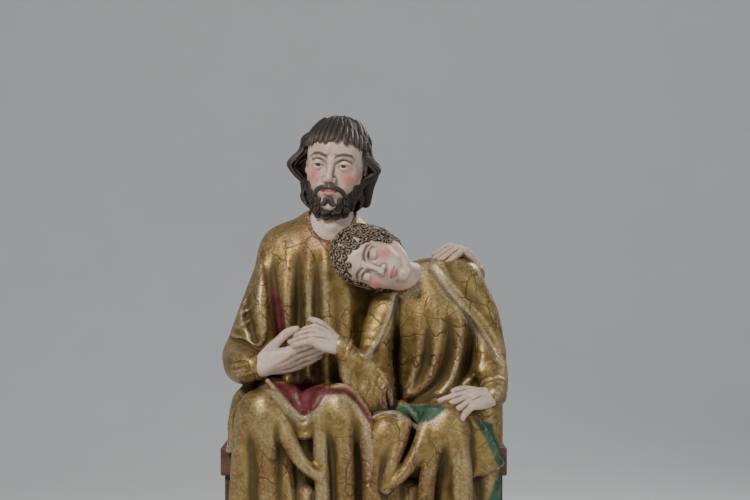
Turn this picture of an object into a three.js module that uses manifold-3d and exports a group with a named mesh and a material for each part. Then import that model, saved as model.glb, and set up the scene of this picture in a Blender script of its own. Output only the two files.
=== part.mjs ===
// A carved, gilded and painted wooden group: a bearded man and a sleeping youth, robed,
// side by side on a bench, with the youth's head laid on the man's breast.
// Millimetres, +Z up, +X to the viewer's right, and the figures face -Y.
import * as THREE from "three";
import { mergeVertices } from "three/addons/utils/BufferGeometryUtils.js";
import Module from "manifold-3d";

// Driving dimensions.
const WIDTH = 740;
const DEPTH = 490;
const BASE_HEIGHT = 56;
const SEAT_TOP = 572;
const SEAT_THICKNESS = 70;
const SEAT_HALF_WIDTH = 356;
const SEAT_FRONT = -74;
const BOARD_HALF_WIDTH = 346;
const BOARD_THICKNESS = 16;
const BENCH_FRONT = -60;
const PANEL_FRONT = -14;
const BENCH_BACK = 236;
const JOINT_GAP = 0.3;

// The clay is worked at this grid, and the finished skin is thinned to so many triangles.
const CELL = 8;
const GROUP_TRIANGLES = 9200;
const FAR = 1e3;
const LOW = [-372, -246, 46];
const HIGH = [372, 246, 1428];

// Joints of the bearded man. His right is the viewer's left.
const MAN = {
  headCentre: [-70, 26, 1285],
  headTurn: [8, 5, -8],
  headHeight: 232,
  neckBase: [-82, 66, 1128],
  chest: [-88, 74, 1010],
  waist: [-98, 72, 800],
  shoulder: [-196, 76, 1056],
  elbow: [-298, 34, 792],
  wrist: [-250, -114, 776],
  farShoulder: [16, 104, 1034],
  farElbow: [176, 134, 950],
  hip: [-205, 80, 652],
  knee: [-242, -130, 656],
  ankle: [-246, -138, 120],
  farHip: [-70, 80, 652],
  farKnee: [-62, -130, 660],
  farAnkle: [-70, -138, 120],
};

// Joints of the sleeping youth. His right arm reaches across to the man's hand.
const YOUTH = {
  headCentre: [18, -74, 1040],
  headTurn: [12, -74, 0],
  headHeight: 202,
  neckBase: [142, -4, 984],
  chest: [168, 0, 900],
  waist: [172, 40, 720],
  shoulder: [62, -30, 916],
  elbow: [44, -86, 742],
  wrist: [-56, -140, 828],
  farShoulder: [240, 6, 986],
  farElbow: [304, 0, 800],
  farWrist: [322, -116, 706],
  hip: [110, 70, 620],
  knee: [62, -130, 604],
  ankle: [58, -136, 118],
  farHip: [230, 70, 626],
  farKnee: [206, -130, 620],
  farAnkle: [212, -136, 118],
};

const add = (a, b) => a.map((v, i) => v + b[i]);
const between = (a, b, t) => a.map((v, i) => v + (b[i] - v) * t);

// A smooth path through a few rows of numbers: place and radius together.
function smoothPath(rows, steps) {
  const path = [];
  for (let i = 0; i < rows.length - 1; i++) {
    const [a, b, c, d] = [-1, 0, 1, 2].map((n) => rows[Math.min(Math.max(i + n, 0), rows.length - 1)]);
    for (let s = 0; s < steps; s++) {
      const t = s / steps;
      path.push(
        b.map((_, k) => {
          const slopeIn = (c[k] - a[k]) / 2;
          const slopeOut = (d[k] - b[k]) / 2;
          const rise = c[k] - b[k];
          const bend = 3 * rise - 2 * slopeIn - slopeOut;
          return b[k] + t * (slopeIn + t * (bend + t * (slopeIn + slopeOut - 2 * rise)));
        }),
      );
    }
  }
  path.push(rows[rows.length - 1]);
  return path;
}

// Shapes give the box that holds them and the distance from a point to their skin.
// A limb is a round rod of changing thickness along [x, y, z, radius] rows. flat = [nx, ny, nz, times]
// makes it a strap, thinner by that many times along the unit direction n.
function limb(rows, { steps = 4, flat = null } = {}) {
  const path = smoothPath(rows, steps);
  const low = [0, 1, 2].map((k) => Math.min(...path.map((p) => p[k] - p[3])));
  const high = [0, 1, 2].map((k) => Math.max(...path.map((p) => p[k] + p[3])));
  const [nx, ny, nz, times] = flat ?? [0, 0, 0, 1];
  const stretch = (p) => {
    const lift = (p[0] * nx + p[1] * ny + p[2] * nz) * (times - 1);
    return [p[0] + nx * lift, p[1] + ny * lift, p[2] + nz * lift, p[3]];
  };
  const rods = path.slice(1).map((end, i) => {
    const a = stretch(path[i]);
    const b = stretch(end);
    const along = [b[0] - a[0], b[1] - a[1], b[2] - a[2]];
    return { a, along, grow: b[3] - a[3], long2: along[0] ** 2 + along[1] ** 2 + along[2] ** 2 || 1 };
  });
  const distance = (x, y, z) => {
    if (flat) [x, y, z] = stretch([x, y, z, 0]);
    let best = FAR;
    for (const { a, along, grow, long2 } of rods) {
      const px = x - a[0];
      const py = y - a[1];
      const pz = z - a[2];
      const t = Math.min(1, Math.max(0, (px * along[0] + py * along[1] + pz * along[2]) / long2));
      const far = Math.hypot(px - t * along[0], py - t * along[1], pz - t * along[2]) - a[3] - t * grow;
      if (far < best) best = far;
    }
    return best;
  };
  return { low, high, distance };
}

// An egg with three half-axes, turned by a matrix.
function egg(centre, half, turn = new THREE.Matrix4()) {
  const reach = Math.max(...half);
  const back = turn.clone().invert().elements;
  const distance = (x, y, z) => {
    const p = [x - centre[0], y - centre[1], z - centre[2]];
    let inner = 0;
    let outer = 0;
    for (let k = 0; k < 3; k++) {
      const q = (back[k] * p[0] + back[4 + k] * p[1] + back[8 + k] * p[2]) / half[k];
      inner += q * q;
      outer += (q / half[k]) ** 2;
    }
    const k0 = Math.sqrt(inner);
    return k0 < 1e-6 ? -Math.min(...half) : (k0 * (k0 - 1)) / Math.sqrt(outer);
  };
  return { low: centre.map((c) => c - reach), high: centre.map((c) => c + reach), distance };
}

// The clay: a grid of distances, negative inside the wood.
class Clay {
  constructor(low, high, cell) {
    this.low = low;
    this.cell = cell;
    this.count = low.map((l, k) => Math.ceil((high[k] - l) / cell) + 1);
    this.field = new Float32Array(this.count[0] * this.count[1] * this.count[2]).fill(FAR);
  }

  index(i, j, k) {
    return (i * this.count[1] + j) * this.count[2] + k;
  }

  // Clears the grid's outermost points, so that the skin closes where the clay runs past them.
  trim() {
    const [ni, nj, nk] = this.count;
    for (let i = 0; i < ni; i++)
      for (let j = 0; j < nj; j++)
        for (let k = 0; k < nk; k++) {
          const rim = i * j * k === 0 || i === ni - 1 || j === nj - 1 || k === nk - 1;
          if (rim) this.field[this.index(i, j, k)] = this.cell;
        }
  }

  // Calls act for every grid point inside a box.
  visit(low, high, act) {
    const first = this.low.map((l, k) => Math.max(0, Math.floor((low[k] - l) / this.cell)));
    const last = this.low.map((l, k) => Math.min(this.count[k] - 1, Math.ceil((high[k] - l) / this.cell)));
    for (let i = first[0]; i <= last[0]; i++)
      for (let j = first[1]; j <= last[1]; j++)
        for (let k = first[2]; k <= last[2]; k++) {
          const place = [i, j, k].map((n, m) => this.low[m] + n * this.cell);
          act(this.index(i, j, k), ...place);
        }
  }

  // Works a shape into the clay over a soft band: it is added, or cut away.
  work(shape, soft, cut = false) {
    const margin = soft + 4 * this.cell;
    const side = cut ? -1 : 1;
    this.visit(shape.low.map((v) => v - margin), shape.high.map((v) => v + margin), (at, x, y, z) => {
      const d = shape.distance(x, y, z);
      const own = side * this.field[at];
      const overlap = Math.max(soft - Math.abs(own - d), 0) / (soft || 1);
      this.field[at] = side * (Math.min(own, d) - (overlap * overlap * soft) / 4);
    });
  }

  add(shape, soft = 12) {
    this.work(shape, soft);
  }

  cut(shape, soft = 8) {
    this.work(shape, soft, true);
  }

  sample(x, y, z) {
    const at = [x, y, z].map((v, k) => (v - this.low[k]) / this.cell);
    const [i, j, k] = at.map((v, n) => Math.min(Math.max(Math.floor(v), 0), this.count[n] - 2));
    const [u, v, w] = [at[0] - i, at[1] - j, at[2] - k];
    const mix = (a, b, t) => a + (b - a) * t;
    const value = (di, dj, dk) => this.field[this.index(i + di, j + dj, k + dk)];
    const line = (di, dj) => mix(value(di, dj, 0), value(di, dj, 1), w);
    return mix(mix(line(0, 0), line(0, 1), v), mix(line(1, 0), line(1, 1), v), u);
  }

  // The y of the skin that a viewer in front sees at (x, z).
  front(x, z) {
    let before = FAR;
    for (let y = this.low[1]; y < HIGH[1]; y += this.cell) {
      const here = this.sample(x, y, z);
      if (here < 0) return y - (this.cell * here) / (here - Math.min(before, this.cell));
      before = here;
    }
    return null;
  }

  // Lays [x, z, a, b] rows on the front of the clay: a smooth path of [x, y, z, a, b], evened out in depth.
  laid(rows, steps = 8) {
    let last = 0;
    const path = smoothPath(rows, steps).map(([x, z, a, b]) => {
      last = this.front(x, z) ?? last;
      return [x, last, z, a, b];
    });
    const evened = (i) => {
      const near = path.slice(Math.max(0, i - 4), i + 5);
      return near.reduce((sum, point) => sum + point[1], 0) / near.length;
    };
    return path.map(([x, , z, a, b], i) => [x, evened(i), z, a, b]);
  }

  // Raises the front along [x, z, width, height] rows, with a soft rounded section. A height below
  // nought presses a hollow. Only the front moves: what lies further behind it stays.
  swell(rows, behind = 50) {
    const path = smoothPath(rows, 6);
    const reach = 2.2 * Math.max(...rows.map((row) => row[2]));
    const ends = (k) => path.map((point) => point[k]);
    const low = [Math.min(...ends(0)) - reach, Math.min(...ends(1)) - reach];
    const high = [Math.max(...ends(0)) + reach, Math.max(...ends(1)) + reach];
    this.raise(low, high, behind, (x, z) => {
      let near = FAR;
      let lift = 0;
      for (let i = 1; i < path.length; i++) {
        const [ax, az, width, height] = path[i - 1];
        const [bx, bz, widthEnd, heightEnd] = path[i];
        const long2 = (bx - ax) ** 2 + (bz - az) ** 2 || 1;
        const t = Math.min(1, Math.max(0, ((x - ax) * (bx - ax) + (z - az) * (bz - az)) / long2));
        const away = Math.hypot(x - ax - t * (bx - ax), z - az - t * (bz - az));
        const off = away / (width + t * (widthEnd - width));
        if (off < near) {
          near = off;
          lift = height + t * (heightEnd - height);
        }
      }
      return near < 2.2 ? lift * Math.exp(-near * near) : 0;
    });
  }

  // A seam is a rod laid along the front, such as a rolled hem, and a slit is one cut out of it:
  // rows of [x, z, radius, how proud or deep].
  seam(rows, soft = 6) {
    const path = this.laid(rows).map(([x, y, z, radius, proud]) => [x, y + radius - proud, z, radius]);
    this.add(limb(path, { steps: 1 }), soft);
  }

  slit(rows, soft = 6) {
    const path = this.laid(rows).map(([x, y, z, radius, deep]) => [x, y - radius + deep, z, radius]);
    this.cut(limb(path, { steps: 1 }), soft);
  }

  // A layer is a thickness of cloth over the front inside an [x, z] outline.
  layer(outline, thickness, behind = 50) {
    const ring = smoothPath([...outline, outline[0]], 3);
    const ends = (k) => ring.map((point) => point[k]);
    const low = [Math.min(...ends(0)) - this.cell, Math.min(...ends(1)) - this.cell];
    const high = [Math.max(...ends(0)) + this.cell, Math.max(...ends(1)) + this.cell];
    this.raise(low, high, behind, (x, z) => thickness * inside(ring, x, z, this.cell));
  }

  // Moves the front outwards by rise(x, z), down to so far behind it, in a box of [x, z]. The move
  // fades out where the front turns away from the viewer.
  raise(low, high, behind, rise) {
    const span = (k, n) => [
      Math.max(1, Math.floor((low[n] - this.low[k]) / this.cell)),
      Math.min(this.count[k] - 2, Math.ceil((high[n] - this.low[k]) / this.cell)),
    ];
    const [[i0, i1], [k0, k1]] = [span(0, 0), span(2, 1)];
    const xOf = (i) => this.low[0] + i * this.cell;
    const zOf = (k) => this.low[2] + k * this.cell;
    const fronts = [];
    for (let i = i0 - 1; i <= i1 + 1; i++) {
      const row = [];
      for (let k = k0 - 1; k <= k1 + 1; k++) row.push(this.front(xOf(i), zOf(k)) ?? FAR);
      fronts.push(row);
    }
    const lifts = fronts.map((row) => row.map(() => 0));
    for (let a = 1; a < fronts.length - 1; a++)
      for (let b = 1; b < fronts[a].length - 1; b++) {
        const slope = Math.hypot(fronts[a + 1][b] - fronts[a - 1][b], fronts[a][b + 1] - fronts[a][b - 1]);
        const facing = Math.min(1, (4 * this.cell) / (slope + this.cell));
        if (fronts[a][b] !== FAR) lifts[a][b] = rise(xOf(i0 + a - 1), zOf(k0 + b - 1)) * facing;
      }
    const even = evened(lifts);
    for (let i = i0; i <= i1; i++)
      for (let k = k0; k <= k1; k++) {
        const [front, lift] = [fronts[i - i0 + 1][k - k0 + 1], even[i - i0 + 1][k - k0 + 1]];
        if (Math.abs(lift) < 0.01 || front === FAR) continue;
        for (let j = 0; j < this.count[1]; j++) {
          const left = (front + behind - this.low[1] - j * this.cell) / 20;
          if (left <= 0) break;
          this.field[this.index(i, j, k)] -= lift * Math.min(1, left);
        }
      }
  }
}

// The same table of numbers, each the mean of itself and its neighbours.
function evened(table) {
  const at = (a, b) => table[Math.min(Math.max(a, 0), table.length - 1)][b] ?? 0;
  return table.map((row, a) =>
    row.map((_, b) => {
      let sum = 0;
      for (let da = -1; da <= 1; da++) for (let db = -1; db <= 1; db++) sum += at(a + da, b + db);
      return sum / 9;
    }),
  );
}

// How far a point is inside a closed ring of points, from 0 outside the band along it to 1 within.
function inside(ring, x, z, band) {
  let within = false;
  let near = FAR;
  for (let i = 1; i < ring.length; i++) {
    const [ax, az] = ring[i - 1];
    const [bx, bz] = ring[i];
    if (az > z !== bz > z && x < ax + ((z - az) / (bz - az)) * (bx - ax)) within = !within;
    const long2 = (bx - ax) ** 2 + (bz - az) ** 2 || 1;
    const t = Math.min(1, Math.max(0, ((x - ax) * (bx - ax) + (z - az) * (bz - az)) / long2));
    near = Math.min(near, Math.hypot(x - ax - t * (bx - ax), z - az - t * (bz - az)));
  }
  return Math.min(1, Math.max(0, 0.5 + ((within ? 1 : -1) * near) / (2 * band)));
}

// A frame for a hand or head: its own axes written as the columns of a turn, at a place.
function frameAt(place, forward, up) {
  const x = new THREE.Vector3(...forward).normalize();
  const z = new THREE.Vector3(...up);
  z.addScaledVector(x, -z.dot(x)).normalize();
  const y = new THREE.Vector3().crossVectors(z, x);
  return new THREE.Matrix4().makeBasis(x, y, z).setPosition(...place);
}

function placed(frame, [x, y, z, radius = 0]) {
  return [...new THREE.Vector3(x, y, z).applyMatrix4(frame).toArray(), radius];
}

// A hand in its own frame: x runs from the wrist to the fingers, z is the back of the hand, and the
// thumb is on the side given. bend is each finger's droop in degrees at its two joints.
function hand(clay, frame, { length, thumbSide, bend, thumbLift = 0, spread = 3 }) {
  const unit = length / 180;
  const scaled = (row) => placed(frame, row.map((v) => v * unit));
  const rod = (rows, soft) => clay.add(limb(rows.map(scaled)), soft);
  rod([[-14, 0, 0, 25], [30, 6 * thumbSide, 0, 23], [66, 4 * thumbSide, 1, 19]], 6);
  rod([[20, -16 * thumbSide, -1, 17], [78, -24 * thumbSide, -1, 14]], 10);
  rod([[24, 18 * thumbSide, -2, 18], [82, 22 * thumbSide, 0, 14]], 10);
  const lengths = [66, 76, 70, 54];
  lengths.forEach((reach, n) => {
    const side = (27 - 18 * n) * thumbSide;
    const fan = THREE.MathUtils.degToRad((1.5 - n) * spread) * thumbSide;
    const rows = [[74, side * 0.95, -2, 12.5], [90, side, 0, 11.5]];
    let at = [90, side, 0];
    let droop = 0;
    [0.46, 0.3, 0.24].forEach((share, joint) => {
      droop += THREE.MathUtils.degToRad(bend[n][Math.min(joint, 1)]) * (joint ? 0.75 : 1);
      const step = reach * share;
      at = add(at, [step * Math.cos(droop) * Math.cos(fan), step * Math.sin(fan), -step * Math.sin(droop)]);
      rows.push([...at, 10.5 - 1.3 * joint]);
    });
    rod(rows, 3);
  });
  const thumb = [[14, 20, -6, 17], [46, 42, -4 + thumbLift * 0.3, 12.5]];
  thumb.push([76, 50, thumbLift * 0.8, 11], [100, 50, thumbLift, 8.5]);
  rod(thumb.map(([x, y, z, r]) => [x, y * thumbSide, z, r]), 6);
}

// A head in its own frame: x to its left, -y out of the face, z to the crown. The face is a plain,
// calm one, set out by the drawing-book rule of halves and thirds of the head's height.
function headFrame({ headCentre, headTurn }) {
  const [nod, lean, look] = headTurn.map(THREE.MathUtils.degToRad);
  const turn = new THREE.Euler(nod, lean, look, "ZXY");
  return new THREE.Matrix4().makeRotationFromEuler(turn).setPosition(...headCentre);
}

function head(clay, figure) {
  const frame = headFrame(figure);
  const unit = figure.headHeight / 200;
  const turn = new THREE.Matrix4().extractRotation(frame);
  const at = (x, y, z) => placed(frame, [x * unit, y * unit, z * unit]).slice(0, 3);
  const mass = (place, half, soft) => clay.add(egg(at(...place), half.map((v) => v * unit), turn), soft);
  const rod = (rows, soft) => clay.add(limb(rows.map(([x, y, z, r]) => [...at(x, y, z), r * unit])), soft);
  mass([0, 16, 22], [66, 82, 72], 0);
  mass([0, -16, -14], [56, 64, 76], 24);
  const jaw = [[42, -8, -44, 18], [26, -44, -76, 15]];
  rod([...jaw.map(([x, y, z, r]) => [-x, y, z, r]), [0, -58, -83, 14], ...jaw.toReversed()], 18);
  for (const side of [-1, 1]) {
    clay.cut(egg(at(side * 27, -88, 2), [19 * unit, 14 * unit, 10 * unit], turn), 8);
    mass([side * 26, -63, 0], [14, 13, 9], 3);
    rod([[side * 12, -78, 15, 4], [side * 28, -75, 20, 4], [side * 44, -62, 15, 4]], 8);
    mass([side * 34, -54, -26], [19, 17, 20], 16);
    mass([side * 66, 10, -6], [8, 14, 22], 6);
  }
  rod([[0, -76, 18, 6], [0, -84, -6, 7], [0, -95, -26, 9]], 8);
  rod([[-11, -82, -30, 6], [0, -88, -33, 6], [11, -82, -30, 6]], 5);
  mass([0, -66, -54], [24, 16, 16], 12);
  rod([[-18, -74, -53, 3], [0, -84, -50, 5], [18, -74, -53, 3]], 4);
  rod([[-13, -75, -59, 3], [0, -82, -61, 6], [13, -75, -59, 3]], 4);
  mass([0, -68, -82], [16, 14, 12], 10);
  return { frame, unit, at, mass, rod };
}

// The bearded man's hair: a cap, a fringe of short locks, and waves that fall beside and behind the neck.
function wavyHair({ mass, rod }) {
  mass([0, 22, 26], [74, 84, 80], 4);
  mass([0, 56, -30], [62, 46, 74], 24);
  for (let n = -4; n <= 4; n++) {
    const turn = (n / 4) * 1.05;
    const edge = (reach, z, r) => [Math.sin(turn) * reach, 10 - Math.cos(turn) * reach * 1.18, z, r];
    rod([edge(44, 84, 6), edge(65, 62, 9), edge(73, 36 - 6 * Math.abs(n / 4), 6)], 5);
  }
  for (const side of [-1, 1]) {
    const lock = (rows) => rod(rows.map(([x, y, z, r]) => [side * x, y, z, r]), 6);
    const temple = [[58, -6, 60, 14], [65, -8, 30, 13], [74, -2, 12, 14]];
    lock([...temple, [94, 4, -2, 15], [98, 8, -24, 16], [86, 14, -46, 16], [72, 18, -62, 13]]);
    lock([[62, 20, 40, 18], [72, 24, 4, 18], [86, 28, -34, 20], [80, 32, -70, 18], [68, 34, -94, 14]]);
    lock([[58, 50, 10, 20], [66, 58, -40, 20], [60, 56, -86, 18], [52, 50, -116, 12]]);
    mass([side * 74, 26, -26], [20, 22, 44], 10);
  }
}

// His short beard and moustache, in small curls along the jaw.
function beard({ mass, rod }) {
  mass([0, -56, -86], [30, 24, 20], 10);
  for (let n = -4; n <= 4; n++) {
    const turn = (n / 4) * 1.3;
    const x = Math.sin(turn) * 48;
    const y = -14 - Math.cos(turn) * 52;
    const drop = 14 * Math.cos(turn);
    rod([[x * 0.94, y, -56 - drop, 9], [x, y - 4, -78 - drop, 10], [x * 0.8, y - 6, -88 - drop, 7]], 4);
  }
  const half = [[3, -86, -43, 4], [16, -82, -46, 5], [30, -68, -56, 5]];
  for (const side of [-1, 1]) rod(half.map(([x, y, z, r]) => [side * x, y, z, r]), 3);
}

// The youth's cap of snail curls, spread evenly over the head behind the hairline.
function curls({ mass }) {
  mass([0, 24, 24], [69, 80, 72], 6);
  mass([0, 52, -10], [56, 42, 54], 20);
  const count = 130;
  for (let n = 0; n < count; n++) {
    const up = 1 - (2 * (n + 0.5)) / count;
    const ring = Math.sqrt(1 - up * up);
    const turn = n * Math.PI * (3 - Math.sqrt(5));
    const [x, y, z] = [Math.sin(turn) * ring, Math.cos(turn) * ring, up];
    const face = y < -0.36 && z < 0.46;
    const cheek = y < 0 && z < 0.1;
    if (face || cheek || z < -0.66) continue;
    mass([x * 72, 20 + y * 80, 12 + z * 82], [12.5, 12.5, 12.5], 3);
  }
}

// Pleats between a top line and a bottom line, each a swell that grows as it falls.
function pleats(clay, { top, bottom, count, width, height, sway = 0 }) {
  for (let n = 0; n < count; n++) {
    const t = count > 1 ? n / (count - 1) : 0;
    const [x0, z0] = between(top[0], top[1], t);
    const [x1, z1] = between(bottom[0], bottom[1], t);
    clay.swell([
      [x0, z0, width * 0.6, height * 0.3],
      [(x0 + x1) / 2 + sway, (z0 + z1) / 2, width, height],
      [x1, z1, width, height],
    ]);
  }
}

// A fold of cloth that hangs in the round, along [x, z, front, radius] rows: front is the y of its ridge.
function hang(clay, rows, soft = 12) {
  clay.add(limb(rows.map(([x, z, front, radius]) => [x, front + radius, z, radius])), soft);
}

// The rolled edge of a sleeve: a ring round the wrist.
function cuff(clay, centre, along, radius, thick) {
  const turned = frameAt(centre, along, [0.1, 0.2, 1]);
  const ring = Array.from({ length: 13 }, (_, n) => {
    const turn = (n / 12) * 2 * Math.PI;
    return placed(turned, [0, radius * Math.cos(turn), radius * Math.sin(turn), thick]);
  });
  clay.add(limb(ring, { steps: 2 }), 4);
}

function manBody(clay) {
  const m = MAN;
  const put = (rows, soft = 24, flat = null) => clay.add(limb(rows, { flat }), soft);
  clay.add(egg(m.chest, [140, 112, 160]), 0);
  clay.add(egg(m.waist, [150, 112, 170]), 60);
  const collar = [[-140, 70, 1088, 54], [...m.neckBase, 50], [-40, 84, 1076, 54]];
  put([[...m.shoulder, 70], ...collar, [...m.farShoulder, 56]], 40);
  put([[...m.farShoulder, 56], [...m.farElbow, 50], [262, 110, 972, 42]]);
  put([[262, 110, 972, 42], [276, 84, 1000, 36]]);
  put([[...m.shoulder, 66], [-252, 62, 920, 62], [...m.elbow, 60]], 30);
  put([[-206, 30, 1000, 52], [-236, 6, 900, 54], [-246, -16, 800, 46]], 30);
  put([[...m.elbow, 60], [-300, -30, 778, 52], [-284, -82, 776, 40], [-262, -104, 776, 33]], 14);
  put([[...m.hip, 96], [-232, -20, 646, 84], [...m.knee, 58]]);
  put([[...m.farHip, 96], [-66, -20, 650, 84], [...m.farKnee, 58]]);
  put([[-140, 70, 640, 90], [-150, -60, 620, 60]], 20);
  put([[30, 50, 1030, 56], [44, 40, 900, 66], [30, 40, 760, 80]], 30);
  put([[...m.knee, 54], [-250, -118, 560, 52], [-254, -114, 400, 58], [...m.ankle, 70]], 30);
  put([[...m.farKnee, 54], [-62, -118, 560, 50], [-64, -114, 400, 56], [...m.farAnkle, 66]], 30);
  put([[-150, -78, 600, 50], [-152, -88, 360, 64], [-154, -90, 100, 74]], 30);
  put([[-6, -100, 620, 40], [0, -106, 400, 46], [-4, -104, 100, 60]], 30);
  // The mantle's end over the bench on his right, down to its corner.
  put([[-284, 0, 670, 52], [-296, -40, 630, 44], [-304, -64, 590, 30]], 20);
  put([[-292, -104, 640, 44], [-314, -96, 596, 26], [-330, -88, 572, 16]], 20, [0, 1, 0, 2]);
  put([[-292, -70, 560, 26], [-300, -84, 300, 34], [-304, -86, 100, 42]]);
}

// The breast, the slit beside the arm, and the mantle's edge round the elbow.
function manFolds(clay) {
  const breast = { top: [[-188, 1075], [-96, 1075]], bottom: [[-190, 776], [-92, 776]], count: 3 };
  pleats(clay, { ...breast, width: 18, height: 12 });
  const valleys = { top: [[-162, 1050], [-118, 1050]], bottom: [[-164, 780], [-118, 780]], count: 2 };
  pleats(clay, { ...valleys, width: 13, height: -12 });
  clay.swell([[-60, 1060, 16, 2], [-44, 970, 20, 9], [-40, 880, 20, 11], [-36, 770, 18, 8]]);
  clay.swell([[-250, 1070, 14, 2], [-262, 1000, 17, 9], [-262, 930, 16, 10], [-254, 860, 14, 6]]);
  clay.swell([[-228, 1050, 14, -6], [-223, 970, 15, -22], [-217, 890, 17, -34], [-206, 820, 16, -28]]);
  clay.swell([[-296, 950, 14, -4], [-288, 895, 16, -9], [-270, 846, 14, -8]]);
}

// The folds that fall from his knees, and the tongue of cloth that hangs between them.
function manSkirt(clay) {
  const folds = [
    [26, [-270, 684, -140, 26], [-291, 640, -162, 24], [-298, 560, -174, 24], [-302, 460, -180, 26],
      [-308, 300, -186, 30], [-310, 80, -190, 36]],
    [22, [-242, 684, -187, 34], [-237, 640, -195, 28], [-232, 560, -198, 24], [-230, 460, -199, 24],
      [-232, 300, -201, 28], [-236, 80, -204, 36]],
    [24, [-198, 600, -158, 22], [-192, 520, -172, 22], [-186, 440, -182, 23], [-180, 300, -189, 26],
      [-178, 80, -196, 34]],
    [14, [-216, 690, -170, 28], [-200, 650, -186, 24], [-181, 604, -198, 21], [-155, 560, -206, 18],
      [-127, 530, -206, 15], [-106, 518, -202, 12]],
    [22, [-136, 470, -168, 18], [-136, 400, -178, 20], [-136, 80, -190, 30]],
    [18, [-90, 700, -168, 28], [-101, 650, -184, 23], [-104, 590, -191, 19], [-101, 520, -194, 19],
      [-98, 460, -195, 19], [-98, 300, -198, 24], [-100, 80, -200, 32]],
    [20, [-62, 688, -187, 34], [-52, 640, -196, 27], [-45, 580, -199, 22], [-42, 460, -200, 22],
      [-44, 300, -202, 26], [-46, 80, -204, 34]],
    [20, [-24, 696, -160, 28], [-2, 650, -176, 24], [10, 600, -186, 20], [17, 500, -189, 19],
      [16, 300, -192, 24], [10, 80, -196, 30]],
  ];
  for (const [soft, ...rows] of folds) hang(clay, rows, soft);
}

// The mantle's lining, laid back over the lap, with its hem in a loop between the knees.
function manLap(clay) {
  const heap = [[-222, -66, 716, 34], [-186, -86, 698, 38], [-150, -96, 672, 38], [-112, -88, 694, 38]];
  clay.add(limb([...heap, [-60, -92, 690, 34], [-10, -104, 684, 28]]), 20);
  hang(clay, [[-214, 742, -116, 16], [-184, 708, -136, 17], [-152, 670, -146, 14]], 14);
  hang(clay, [[-104, 738, -104, 16], [-112, 706, -132, 16], [-132, 674, -145, 13]], 14);
  const hem = [[-230, 738, -128, 12], [-196, 706, -146, 13], [-168, 672, -158, 13], [-146, 652, -161, 13]];
  hang(clay, [...hem, [-122, 672, -159, 13], [-106, 700, -154, 12]], 12);
  const edge = [[-108, 700, -150, 13], [-86, 720, -153, 13], [-58, 727, -154, 13], [-34, 720, -155, 13]];
  const fall = [[-10, 702, -160, 13], [6, 672, -168, 13], [12, 600, -188, 12], [14, 500, -196, 11]];
  hang(clay, [...edge, ...fall], 12);
}

function youthBody(clay) {
  const y = YOUTH;
  const put = (rows, soft = 24, flat = null) => clay.add(limb(rows, { flat }), soft);
  clay.add(egg(y.chest, [112, 92, 130]), 20);
  clay.add(egg(y.waist, [134, 104, 150]), 60);
  const collar = [[96, -20, 950, 44], [...y.neckBase, 46], [196, 2, 988, 50]];
  put([[...y.shoulder, 46], ...collar, [...y.farShoulder, 52]], 40);
  put([[...y.farShoulder, 54], [288, 8, 900, 52], [...y.farElbow, 54]]);
  put([[...y.farElbow, 50], [322, -58, 750, 38], [...y.farWrist, 30]], 12);
  // The near arm: a teardrop of mantle over the upper arm, and a sleeve that hangs from the forearm.
  put([[...y.shoulder, 44], [38, -62, 860, 42], [14, -84, 806, 22]], 14);
  put([[40, -50, 840, 36], [20, -90, 770, 44], [10, -104, 740, 40]], 12);
  put([[10, -100, 770, 44], [-24, -124, 790, 32], [...y.wrist, 26]], 14);
  put([[-36, -132, 800, 24], [-40, -134, 760, 20], [-34, -130, 738, 14]], 10);
  put([[0, -108, 770, 40], [6, -108, 710, 42], [14, -100, 672, 38]], 14);
  put([[36, -84, 760, 36], [44, -84, 690, 36]], 14);
  put([[...y.hip, 88], [84, -20, 598, 76], [...y.knee, 48]]);
  put([[...y.farHip, 88], [216, -20, 606, 80], [...y.farKnee, 56]]);
  put([[160, 60, 610, 84], [134, -70, 580, 50]], 20);
  put([[...y.knee, 46], [62, -116, 510, 48], [62, -114, 400, 54], [...y.ankle, 62]], 30);
  put([[...y.farKnee, 52], [212, -116, 520, 52], [220, -114, 400, 62], [...y.farAnkle, 74]], 30);
  put([[136, -80, 560, 50], [134, -86, 340, 64], [134, -90, 100, 74]], 30);
  // The mantle's end over the bench on his left, with its corner in front.
  const end = [[290, 10, 690, 62], [304, -20, 600, 46], [304, -64, 500, 38], [296, -80, 300, 38]];
  put([...end, [298, -84, 100, 46]], 30);
  const corner = [[236, -132, 600, 70], [276, -126, 562, 54], [314, -116, 544, 28], [336, -108, 540, 16]];
  put(corner, 16, [0, 1, 0, 2]);
}

// The breast's long folds, which swing from under the far shoulder to the near knee, and the mantle.
function youthFolds(clay) {
  clay.swell([[232, 930, 14, 2], [245, 850, 18, 12], [218, 740, 18, 18], [142, 672, 15, 12]]);
  clay.swell([[184, 920, 14, 2], [184, 830, 17, 11], [156, 735, 17, 15], [92, 680, 13, 10]]);
  clay.swell([[140, 900, 12, 2], [134, 800, 16, 11], [106, 705, 13, 9]]);
  clay.swell([[212, 890, 11, -4], [214, 815, 14, -12], [186, 736, 14, -15], [120, 688, 11, -8]]);
  clay.swell([[296, 800, 10, 4], [264, 746, 14, 13], [206, 690, 12, 12]]);
  clay.swell([[270, 860, 12, -8], [264, 790, 14, -18], [240, 725, 12, -13]]);
  clay.swell([[86, 940, 10, -10], [78, 860, 12, -28], [78, 760, 13, -34], [80, 690, 12, -22]]);
  const edge = [[164, 1020], [202, 967], [242, 922], [270, 890], [294, 858], [350, 776]];
  clay.layer([...edge, [400, 800], [380, 1100], [200, 1100]], 9);
  const drop = [[76, 955], [66, 910], [50, 868], [30, 830], [6, 798], [-6, 806]];
  clay.layer([...drop, [-24, 850], [-10, 920], [20, 960]], 9);
}

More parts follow.
